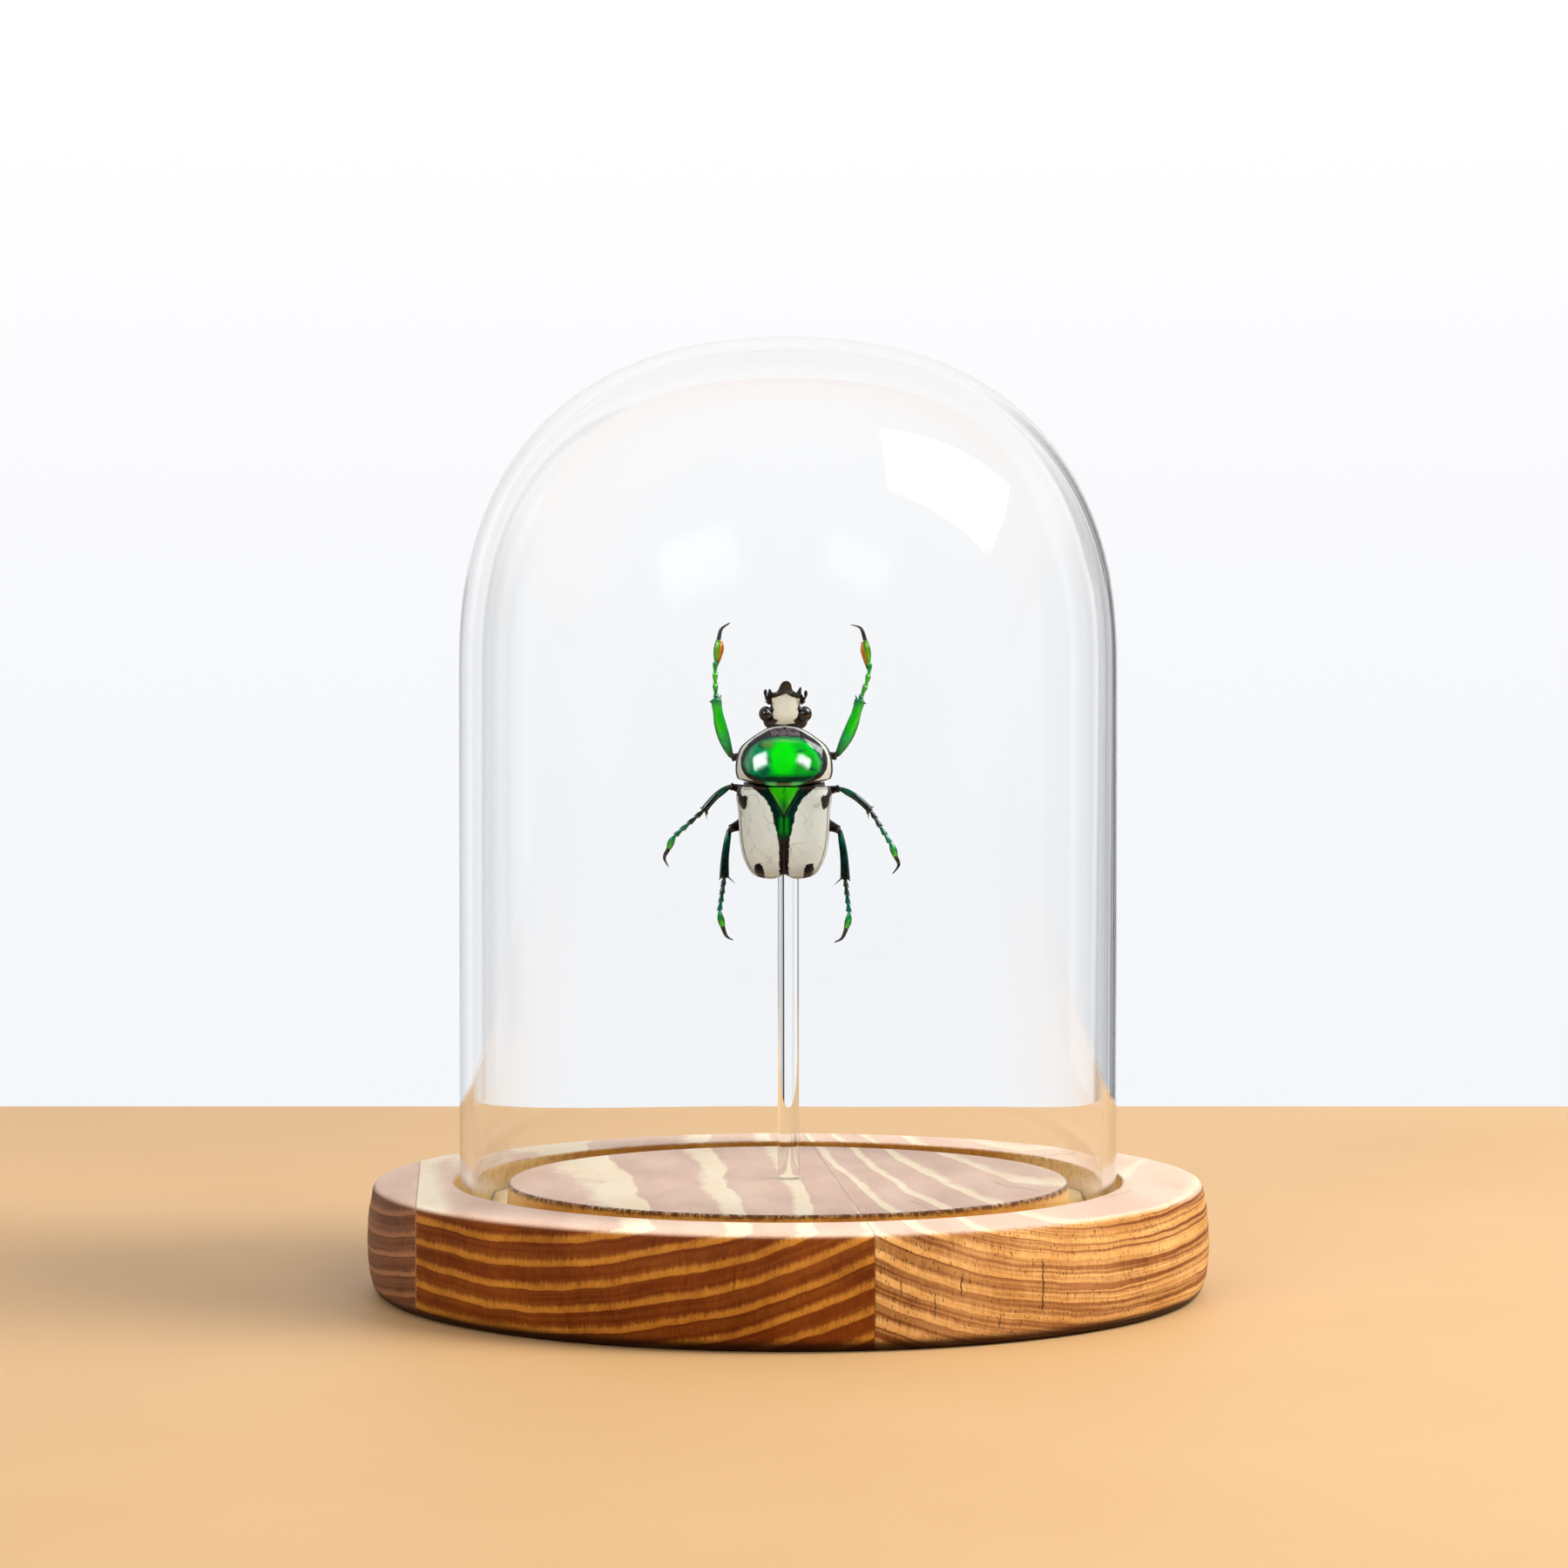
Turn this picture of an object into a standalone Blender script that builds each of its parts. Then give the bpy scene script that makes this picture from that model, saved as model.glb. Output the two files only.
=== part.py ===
"""A mounted flower beetle on a clear rod, under a glass dome that stands in a turned wooden base.

The origin is the centre of the base's underside, +Z is up and the beetle's back faces -Y.
The beetle is modelled lying on its belly, in a frame of its own: +Y towards the head, +Z out of its back,
with the origin on the midline where the pronotum meets the scutellum, at the height of the body's widest line.
An empty stands it up in front of the rod.
"""

import math

import bmesh
import bpy
from mathutils import Vector

MM = 0.001
GAP = 0.3  # clearance between touching pieces

# Wooden base: a barrel-sided disc with a ring groove for the dome and a blind hole for the rod.
BASE_RADIUS = 60.0
BASE_HEIGHT = 15.5
BASE_TOP_RADIUS = 58.7
BASE_FOOT_RADIUS = 59.0
BASE_EDGE_ROUND = 1.2
GROOVE_INNER_RADIUS = 40.0
GROOVE_OUTER_RADIUS = 47.65
GROOVE_DEPTH = 4.0
ROD_HOLE_DEPTH = 8.0
BASE_STEPS = 72

# Glass dome: a straight tube closed by a crown whose shoulders are squarer than a sphere's, with a rounded rim.
DOME_RADIUS = 46.9
DOME_WALL = 1.8
DOME_TOP = 135.3
DOME_SHOULDER = 88.0
DOME_SQUARENESS = 2.35
DOME_STEPS = 56
DOME_ARC_POINTS = 9

# Clear rod.
ROD_RADIUS = 1.55
ROD_TOP = 69.5

# Where the beetle's own frame stands in the world.
BEETLE_X = -0.6
BEETLE_Y = -5.6
BEETLE_Z = 71.7

# Stations of the lofted body pieces: side y, half-width, midline y, rise of the back, depth of the belly.
PRONOTUM = [
    (8.35, 2.3, 8.5, 1.7, 1.4),
    (7.4, 4.3, 7.7, 2.6, 2.1),
    (5.8, 5.8, 6.2, 3.4, 2.6),
    (4.0, 6.5, 4.3, 3.9, 2.8),
    (2.4, 6.72, 2.3, 4.15, 2.8),
    (1.35, 6.55, 0.9, 4.15, 2.5),
    (1.05, 6.3, 0.1, 4.05, 2.2),
]
THORAX = [
    (0.7, 6.05, -0.25, 3.3, 2.4),
    (-0.4, 6.0, -0.9, 3.3, 3.1),
    (-2.6, 5.8, -2.6, 3.3, 3.6),
    (-5.1, 5.6, -5.1, 3.3, 3.6),
]
ABDOMEN = [
    (-5.4, 5.45, -5.4, 3.0, 3.55),
    (-7.6, 5.2, -7.6, 2.7, 3.4),
    (-9.8, 4.5, -9.8, 2.0, 2.9),
    (-11.4, 3.5, -11.4, 1.0, 2.2),
    (-12.4, 2.2, -12.4, 0.1, 1.2),
]
BODY_SQUARENESS = 2.4

# Head stations: y, half-width, rise, depth, lift of the section's centre.
HEAD = [
    (8.85, 1.5, 1.2, 1.1, -0.2),
    (10.1, 1.5, 1.3, 1.2, 0.0),
    (11.4, 1.75, 1.1, 1.1, 0.2),
    (12.6, 2.0, 0.9, 0.8, 0.4),
    (13.2, 1.8, 0.6, 0.6, 0.7),
    (13.8, 1.1, 0.45, 0.45, 1.1),
    (14.5, 0.85, 0.4, 0.4, 1.4),
    (15.0, 0.5, 0.3, 0.3, 1.5),
]
HEAD_X = 0.2
EYE_CENTRE = (2.85, 10.05, 0.1)
EYE_RADII = (1.0, 1.3, 1.1)
ANTENNA = [(2.3, 11.9, 0.0), (2.6, 12.6, 0.2), (2.75, 13.6, 0.4)]
ANTENNA_RADII = [0.22, 0.38, 0.2]

# Elytron: its outer edge from shoulder to tip, and the height of its inner edge.
ELYTRON_EDGE = [
    (6.75, -0.3), (6.9, -1.6), (6.62, -3.3), (6.55, -5.7), (6.3, -8.2),
    (5.75, -10.4), (4.6, -12.3), (3.0, -13.0), (1.4, -13.1), (0.5, -12.6),
]
ELYTRON_RIDGE = [(-0.3, 4.25), (-4.0, 4.7), (-7.0, 4.6), (-10.0, 3.8), (-12.4, 2.0)]
ELYTRON_WALL = 0.45
ELYTRON_ROWS = 12
ELYTRON_COLUMNS = 6
SUTURE_GAP = 0.16

# Scutellum: the triangle between the two elytra.
SCUTELLUM_HALF_WIDTH = 2.15
SCUTELLUM_LENGTH = 3.9
SCUTELLUM_TOP = 4.3
SCUTELLUM_THICKNESS = 0.5

# Legs: hip, knee, ankle, three more points of the foot, then the bend and the tip of the claws.
LEGS = {
    "front_right": [(3.0, 4.2, -3.8), (7.5, 4.3, -2.8), (11.2, 12.1, -1.8),
                    (11.75, 14.9, -2.0), (12.1, 17.3, -2.2), (11.5, 20.7, -2.4),
                    (10.75, 22.4, -2.6), (9.5, 22.95, -3.0)],
    "front_left": [(-3.0, 4.2, -3.8), (-7.5, 4.1, -2.8), (-9.7, 12.4, -1.8),
                   (-9.78, 15.2, -2.0), (-9.7, 17.9, -2.2), (-9.3, 20.8, -2.4),
                   (-8.8, 22.3, -2.6), (-7.7, 23.2, -3.0)],
    "middle_right": [(3.4, -1.2, -3.9), (7.9, -0.3, -2.4), (12.2, -3.3, -2.0),
                     (13.97, -6.2, -2.2), (15.3, -8.4, -2.4), (15.9, -10.0, -2.6),
                     (16.3, -11.2, -2.8), (15.5, -12.5, -3.2)],
    "middle_left": [(-3.4, -1.2, -3.9), (-7.7, 0.0, -2.4), (-11.4, -3.4, -2.0),
                    (-14.0, -5.7, -2.2), (-15.7, -7.3, -2.4), (-16.45, -8.9, -2.6),
                    (-17.0, -10.2, -2.8), (-16.5, -11.5, -3.2)],
    "hind_right": [(3.6, -4.4, -3.9), (7.9, -6.2, -2.6), (8.7, -13.1, -2.2),
                   (9.05, -16.2, -2.4), (9.25, -18.4, -2.6), (8.9, -20.2, -2.8),
                   (8.3, -21.6, -3.0), (7.4, -22.15, -3.4)],
    "hind_left": [(-3.6, -4.4, -3.9), (-7.8, -6.1, -2.6), (-8.55, -12.9, -2.2),
                  (-9.0, -16.2, -2.4), (-9.2, -18.0, -2.6), (-8.8, -20.0, -2.8),
                  (-8.35, -21.3, -3.0), (-7.5, -21.85, -3.4)],
}
FEMUR_RADII = {"front": (0.6, 0.85, 0.5), "middle": (0.6, 0.75, 0.45), "hind": (0.65, 0.9, 0.5)}
TIBIA_RADII = {"front": (0.4, 0.7, 0.65), "middle": (0.28, 0.42, 0.45), "hind": (0.3, 0.45, 0.6)}
FOOT_RADII = (0.2, 0.34)
CLAW_RADII = (0.2, 0.1)

COLOURS = {
    "wood": (0.36, 0.17, 0.07, 1.0),
    "glass": (0.92, 0.95, 0.95, 0.3),
    "green_chitin": (0.01, 0.42, 0.05, 1.0),
    "white_chitin": (0.66, 0.64, 0.55, 1.0),
    "black_chitin": (0.02, 0.018, 0.016, 1.0),
}
ROUGHNESS = {"wood": 0.6, "glass": 0.02}
CHITIN_ROUGHNESS = 0.15


def material(name):
    """One Principled BSDF for each name, with its colour, roughness and metallic value."""
    found = bpy.data.materials.get(name)
    if found:
        return found
    made = bpy.data.materials.new(name)
    made.use_nodes = True
    shader = made.node_tree.nodes["Principled BSDF"]
    shader.inputs["Base Color"].default_value = COLOURS[name]
    shader.inputs["Roughness"].default_value = ROUGHNESS.get(name, CHITIN_ROUGHNESS)
    shader.inputs["Metallic"].default_value = 0.6 if name == "green_chitin" else 0.0
    shader.inputs["Alpha"].default_value = COLOURS[name][3]
    return made


def clear_scene():
    for obj in list(bpy.data.objects):
        bpy.data.objects.remove(obj)


def add_object(name, data, surface, parent=None):
    """Links the data as an object of that name, in the part's collection."""
    obj = bpy.data.objects.new(name, data)
    bpy.data.collections["beetle_dome"].objects.link(obj)
    if surface:
        obj.data.materials.append(material(surface))
    obj.parent = parent
    return obj


def shade(mesh):
    mesh.shade_smooth()
    mesh.set_sharp_from_angle(angle=math.radians(40))


def scaled(point):
    return Vector(point) * MM


def power(value, exponent):
    return math.copysign(abs(value) ** exponent, value)


def arc(centre, radii, start, end, count, squareness=2.0):
    """Points of an elliptical or squarer arc in the profile's plane, from start to end in degrees."""
    angles = [math.radians(start + (end - start) * k / count) for k in range(count + 1)]
    return [(centre[0] + radii[0] * power(math.cos(a), 2 / squareness),
             centre[1] + radii[1] * power(math.sin(a), 2 / squareness)) for a in angles]


def turned(name, profile, surface, steps):
    """A profile of (radius, height) points, from the top's centre down the outside, turned about Z."""
    mesh = bpy.data.meshes.new(name)
    points = [scaled((radius, 0.0, height)) for radius, height in profile]
    mesh.from_pydata(points, [(k, k + 1) for k in range(len(points) - 1)], [])
    obj = add_object(name, mesh, surface)
    screw = obj.modifiers.new("turn", "SCREW")
    screw.steps = steps
    screw.render_steps = steps
    screw.use_merge_vertices = True
    screw.merge_threshold = 0.00002
    return obj


def through(points, count):
    """A Catmull-Rom curve through the points, with count stretches between each two."""
    points = [Vector(p) for p in points]
    ends = [2 * points[0] - points[1], *points, 2 * points[-1] - points[-2]]
    found = []
    for before, a, b, after in zip(ends, ends[1:], ends[2:], ends[3:]):
        for k in range(count):
            t = k / count
            found.append(0.5 * (2 * a + (b - before) * t
                                + (2 * before - 5 * a + 4 * b - after) * t * t
                                + (3 * a - before - 3 * b + after) * t ** 3))
    return [*found, points[-1]]


def loft(name, rings, surface, parent):
    """A closed solid through rings of equal count, which run anticlockwise seen from the last ring."""
    bm = bmesh.new()
    rows = [[bm.verts.new(scaled(p)) for p in ring] for ring in rings]
    count = len(rows[0])
    for near, far in zip(rows, rows[1:]):
        for k in range(count):
            bm.faces.new((near[k], near[(k + 1) % count], far[(k + 1) % count], far[k]))
    bm.faces.new(reversed(rows[0]))
    bm.faces.new(rows[-1])
    bmesh.ops.recalc_face_normals(bm, faces=bm.faces)
    mesh = bpy.data.meshes.new(name)
    bm.to_mesh(mesh)
    bm.free()
    shade(mesh)
    return add_object(name, mesh, surface, parent)


def section(side_y, half_width, mid_y, rise, depth, centre=(0.0, 0.0), count=16):
    """A squarish oval across the body, whose middle is drawn forwards or back of its sides."""
    ring = []
    for k in range(count):
        angle = 2 * math.pi * (k + 0.5) / count
        cosine = power(math.cos(angle), 2 / BODY_SQUARENESS)
        sine = power(math.sin(angle), 2 / BODY_SQUARENESS)
        ring.append((centre[0] + half_width * cosine,
                     side_y + (mid_y - side_y) * (1 - cosine ** 2),
                     centre[1] + sine * (rise if sine > 0 else depth)))
    return ring


def base():
    """The turned wooden base, profile read from the rod hole's floor outwards and round to the foot."""
    top = BASE_HEIGHT
    hole = ROD_RADIUS + GAP
    edge = BASE_EDGE_ROUND
    profile = [(0.0, top - ROD_HOLE_DEPTH), (hole, top - ROD_HOLE_DEPTH), (hole, top),
               (GROOVE_INNER_RADIUS, top), (GROOVE_INNER_RADIUS, top - GROOVE_DEPTH),
               (GROOVE_OUTER_RADIUS, top - GROOVE_DEPTH), (GROOVE_OUTER_RADIUS, top)]
    profile += arc((BASE_TOP_RADIUS - edge, top - edge), (edge, edge), 90, 15, 3)
    bulge_z = BASE_HEIGHT * 0.5
    profile += [(BASE_RADIUS - 0.3, bulge_z + 3.5), (BASE_RADIUS, bulge_z), (BASE_RADIUS - 0.2, bulge_z - 3.5)]
    profile += arc((BASE_FOOT_RADIUS - edge, edge), (edge, edge), -15, -90, 3)
    profile.append((0.0, 0.0))
    return turned("wooden_base", profile, "wood", BASE_STEPS)


def dome():
    """The glass dome: outside from the crown to the rim, then back up the inside."""
    rim = DOME_WALL / 2
    foot = BASE_HEIGHT - GROOVE_DEPTH + GAP
    rise = DOME_TOP - DOME_SHOULDER
    inner = DOME_RADIUS - DOME_WALL
    profile = arc((0.0, DOME_SHOULDER), (DOME_RADIUS, rise), 90, 0, DOME_ARC_POINTS, DOME_SQUARENESS)
    profile += arc((DOME_RADIUS - rim, foot + rim), (rim, rim), 0, -180, 4)
    profile += arc((0.0, DOME_SHOULDER), (inner, rise - DOME_WALL), 0, 90, DOME_ARC_POINTS, DOME_SQUARENESS)
    profile[0] = (0.0, DOME_TOP)
    profile[-1] = (0.0, DOME_TOP - DOME_WALL)
    return turned("glass_dome", profile, "glass", DOME_STEPS)


def rod():
    """The clear rod, from near the floor of its hole up behind the beetle's belly."""
    foot = BASE_HEIGHT - ROD_HOLE_DEPTH + GAP
    length = ROD_TOP - foot
    bpy.ops.mesh.primitive_cylinder_add(vertices=24, radius=ROD_RADIUS * MM, depth=length * MM,
                                        location=(0.0, 0.0, (foot + length / 2) * MM))
    obj = bpy.context.object
    obj.name = "glass_rod"
    bpy.context.collection.objects.unlink(obj)
    bpy.data.collections["beetle_dome"].objects.link(obj)
    obj.data.materials.append(material("glass"))
    shade(obj.data)
    return obj


def body(beetle):
    """The pieces of the trunk, lofted through their stations."""
    for name, stations, surface in (("pronotum", PRONOTUM, "green_chitin"),
                                    ("thorax", THORAX, "black_chitin"),
                                    ("abdomen", ABDOMEN, "black_chitin")):
        loft(name, [section(*station) for station in stations], surface, beetle)


def head(beetle):
    """The head with its blunt horn, the two eyes and the two antennae."""
    rings = [section(y, half, y, rise, depth, (HEAD_X, lift), 12) for y, half, rise, depth, lift in HEAD]
    loft("head", rings, "white_chitin", beetle)
    for name, side in (("left", -1), ("right", 1)):
        bm = bmesh.new()
        bmesh.ops.create_uvsphere(bm, u_segments=12, v_segments=8, radius=MM)
        bmesh.ops.scale(bm, vec=EYE_RADII, verts=bm.verts)
        mesh = bpy.data.meshes.new("eye_" + name)
        bm.to_mesh(mesh)
        bm.free()
        shade(mesh)
        eye = add_object("eye_" + name, mesh, "black_chitin", beetle)
        eye.location = scaled((HEAD_X + side * EYE_CENTRE[0], *EYE_CENTRE[1:]))
        path = [(HEAD_X + side * x, y, z) for x, y, z in ANTENNA]
        tube("antenna_" + name, path, ANTENNA_RADII, "black_chitin", beetle)


def along(pairs, y):
    """Straight reading between (y, value) pairs that run towards the tail."""
    for (y0, v0), (y1, v1) in zip(pairs, pairs[1:]):
        if y >= y1:
            share = min(1.0, max(0.0, (y0 - y) / (y0 - y1)))
            return v0 + (v1 - v0) * share
    return pairs[-1][1]


def elytra(beetle):
    """Each wing case: a curved sheet between its outer edge and the scutellum's side and suture, thickened inwards."""
    outer = through([(x, y, 0.0) for x, y in ELYTRON_EDGE], 4)
    tail = ELYTRON_RIDGE[-1][0]
    for name, side in (("elytron_left", -1), ("elytron_right", 1)):
        bm = bmesh.new()
        rows = []
        for j in range(ELYTRON_ROWS + 1):
            share = j / ELYTRON_ROWS
            edge = outer[round(share * (len(outer) - 1))]
            y = ELYTRON_EDGE[0][1] + (tail - ELYTRON_EDGE[0][1]) * share
            taper = max(0.0, 1 + y / (SCUTELLUM_LENGTH + GAP))
            start = Vector((SUTURE_GAP + (SCUTELLUM_HALF_WIDTH + GAP) * taper, y, 0.0))
            height = along(ELYTRON_RIDGE, y)
            row = []
            for k in range(ELYTRON_COLUMNS + 1):
                s = math.sin(0.5 * math.pi * k / ELYTRON_COLUMNS)
                point = start.lerp(edge, s)
                point.z = height * (1 - s ** 2.6) ** 0.5
                row.append(bm.verts.new(scaled((side * point.x, point.y, point.z))))
            rows.append(row)
        for near, far in zip(rows, rows[1:]):
            for k in range(ELYTRON_COLUMNS):
                corners = (near[k], far[k], far[k + 1], near[k + 1])
                bm.faces.new(corners if side > 0 else reversed(corners))
        mesh = bpy.data.meshes.new(name)
        bm.to_mesh(mesh)
        bm.free()
        shade(mesh)
        obj = add_object(name, mesh, "white_chitin", beetle)
        wall = obj.modifiers.new("wall", "SOLIDIFY")
        wall.thickness = ELYTRON_WALL * MM
        wall.offset = -1.0


def scutellum(beetle):
    """A thin triangular plate, point towards the tail."""
    half = SCUTELLUM_HALF_WIDTH
    corners = [(-half, -0.25), (-half * 0.55, -SCUTELLUM_LENGTH * 0.4), (0.0, -SCUTELLUM_LENGTH),
               (half * 0.55, -SCUTELLUM_LENGTH * 0.4), (half, -0.25)]
    low = [(x, y, SCUTELLUM_TOP - SCUTELLUM_THICKNESS) for x, y in corners]
    high = [(x, y, SCUTELLUM_TOP) for x, y in corners]
    loft("scutellum", [low, high], "green_chitin", beetle)


def tube(name, path, radii, surface, parent):
    """A round piece along a path, its radius read along the list of radii; caps filled."""
    curve = bpy.data.curves.new(name, "CURVE")
    curve.dimensions = "3D"
    curve.bevel_depth = MM
    curve.bevel_resolution = 2
    curve.use_fill_caps = True
    spline = curve.splines.new("POLY")
    spline.points.add(len(path) - 1)
    for k, (point, place) in enumerate(zip(spline.points, path)):
        at = k / (len(path) - 1) * (len(radii) - 1)
        low = min(int(at), len(radii) - 2)
        point.co = (*scaled(place), 1.0)
        point.radius = radii[low] + (radii[low + 1] - radii[low]) * (at - low)
    return add_object(name, curve, surface, parent)


def shortened(start, end, cut_start, cut_end):
    """The segment from start to end with a length cut off each end."""
    start, end = Vector(start), Vector(end)
    step = (end - start).normalized()
    return start + step * cut_start, end - step * cut_end


def legs(beetle):
    """Six legs, each a femur, a tibia and a foot that ends in its claws."""
    for name, points in LEGS.items():
        pair = name.split("_")[0]
        hip, knee, ankle = points[:3]
        a, b = shortened(hip, knee, 0.0, 0.1)
        tube("femur_" + name, [a, a.lerp(b, 0.5), b], FEMUR_RADII[pair], "black_chitin", beetle)
        a, b = shortened(knee, ankle, FEMUR_RADII[pair][-1] + GAP, 0.1)
        tube("tibia_" + name, [a, a.lerp(b, 0.5), b], TIBIA_RADII[pair], "green_chitin", beetle)
        path = through(points[2:6], 5)[1:]
        radii = [FOOT_RADII[k % 3 > 1] for k in range(len(path))]
        claws = through(points[5:], 3)[1:]
        radii += [CLAW_RADII[0] + (CLAW_RADII[1] - CLAW_RADII[0]) * k / (len(claws) - 1) for k in range(len(claws))]
        tube("foot_" + name, path + claws, radii, "green_chitin", beetle)


def main():
    clear_scene()
    bpy.context.scene.collection.children.link(bpy.data.collections.new("beetle_dome"))
    base()
    dome()
    rod()
    beetle = add_object("beetle_frame", None, None)
    beetle.location = scaled((BEETLE_X, BEETLE_Y, BEETLE_Z))
    beetle.rotation_euler = (math.radians(90), 0.0, 0.0)
    body(beetle)
    head(beetle)
    scutellum(beetle)
    elytra(beetle)
    legs(beetle)


main()
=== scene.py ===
import math

import bmesh
import bpy
import numpy as np
from mathutils import Matrix, Vector, noise


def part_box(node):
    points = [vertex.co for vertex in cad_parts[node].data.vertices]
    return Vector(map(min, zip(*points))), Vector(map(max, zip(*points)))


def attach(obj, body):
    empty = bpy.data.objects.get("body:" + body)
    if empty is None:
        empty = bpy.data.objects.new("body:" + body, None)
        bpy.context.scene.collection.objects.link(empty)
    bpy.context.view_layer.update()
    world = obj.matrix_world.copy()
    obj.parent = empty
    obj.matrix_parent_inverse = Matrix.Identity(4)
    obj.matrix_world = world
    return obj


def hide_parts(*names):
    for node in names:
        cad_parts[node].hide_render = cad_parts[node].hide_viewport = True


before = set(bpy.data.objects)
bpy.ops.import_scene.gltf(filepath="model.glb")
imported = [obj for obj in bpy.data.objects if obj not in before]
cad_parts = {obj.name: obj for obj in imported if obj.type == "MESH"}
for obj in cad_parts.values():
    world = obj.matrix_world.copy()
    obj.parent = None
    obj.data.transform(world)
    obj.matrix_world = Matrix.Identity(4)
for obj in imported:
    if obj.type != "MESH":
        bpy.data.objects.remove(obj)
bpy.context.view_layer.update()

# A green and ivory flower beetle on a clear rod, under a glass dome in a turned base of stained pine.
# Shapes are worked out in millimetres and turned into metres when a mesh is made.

MM = 0.001
TURN = 2 * math.pi
ON_AXIS = 1e-6


# ---------------------------------------------------------------- meshes

def closed_mesh(name, points, faces):
    """A mesh whose faces all look outwards."""
    mesh = bpy.data.meshes.new(name)
    mesh.from_pydata(points.tolist(), [], [tuple(face) for face in faces])
    outward = bmesh.new()
    outward.from_mesh(mesh)
    bmesh.ops.recalc_face_normals(outward, faces=outward.faces)
    outward.to_mesh(mesh)
    outward.free()
    return mesh


def in_scene(name, data):
    obj = bpy.data.objects.new(name, data)
    bpy.context.scene.collection.objects.link(obj)
    return obj


def piece(name, points, faces, material, slot, nodes, matrix=None, attributes=None):
    """A smooth piece of the object, from points in millimetres, that stands for the given CAD nodes."""
    mesh = closed_mesh(name, np.asarray(points, float) * MM, faces)
    mesh.polygons.foreach_set("use_smooth", [True] * len(mesh.polygons))
    for key, values in (attributes or {}).items():
        layer = mesh.attributes.new(key, "FLOAT", "POINT")
        layer.data.foreach_set("value", np.asarray(values, np.float32))
    mesh.materials.append(material)
    mesh.validate()
    obj = in_scene(name, mesh)
    if matrix is not None:
        obj.matrix_world = matrix
    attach(obj, "root")
    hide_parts(*nodes)
    return obj


def turned(profile, steps, shift=None):
    """Points and faces of a profile of (radius, height) turned about the vertical axis.
    A profile point on the axis becomes a single point. shift(angle, radius, height) moves the radius."""
    points, rows = [], []
    for radius, height in profile:
        if radius < ON_AXIS:
            rows.append([len(points)] * steps)
            points.append((0, 0, height))
            continue
        rows.append(list(range(len(points), len(points) + steps)))
        for step in range(steps):
            angle = TURN * step / steps
            moved = radius + (shift(angle, radius, height) if shift else 0)
            points.append((moved * math.cos(angle), moved * math.sin(angle), height))
    faces = []
    for low, high in zip(rows, rows[1:]):
        for step in range(steps):
            after = (step + 1) % steps
            corners = [low[step], low[after], high[after], high[step]]
            faces.append(list(dict.fromkeys(corners)))
    return points, faces


def arc(centre, radius, start, end, steps):
    """Points of an arc in the profile plane, angles in degrees from the outward direction."""
    angles = np.radians(np.linspace(start, end, steps))
    return [(centre[0] + radius * math.cos(a), centre[1] + radius * math.sin(a)) for a in angles]


def spread(start, end, steps):
    """Points between two profile points, without the ends."""
    return [tuple(np.add(start, np.subtract(end, start) * k / steps)) for k in range(1, steps)]


# ---------------------------------------------------------------- shaders

class Value:
    """The output of a node. Arithmetic on it makes Math nodes."""

    def __init__(self, shader, socket):
        self.shader, self.socket = shader, socket

    def __add__(self, other):
        return self.shader.math("ADD", self, other)

    def __radd__(self, other):
        return self.shader.math("ADD", other, self)

    def __sub__(self, other):
        return self.shader.math("SUBTRACT", self, other)

    def __rsub__(self, other):
        return self.shader.math("SUBTRACT", other, self)

    def __mul__(self, other):
        return self.shader.math("MULTIPLY", self, other)

    def __truediv__(self, other):
        return self.shader.math("DIVIDE", self, other)

    def __abs__(self):
        return self.shader.math("ABSOLUTE", self)


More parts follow.
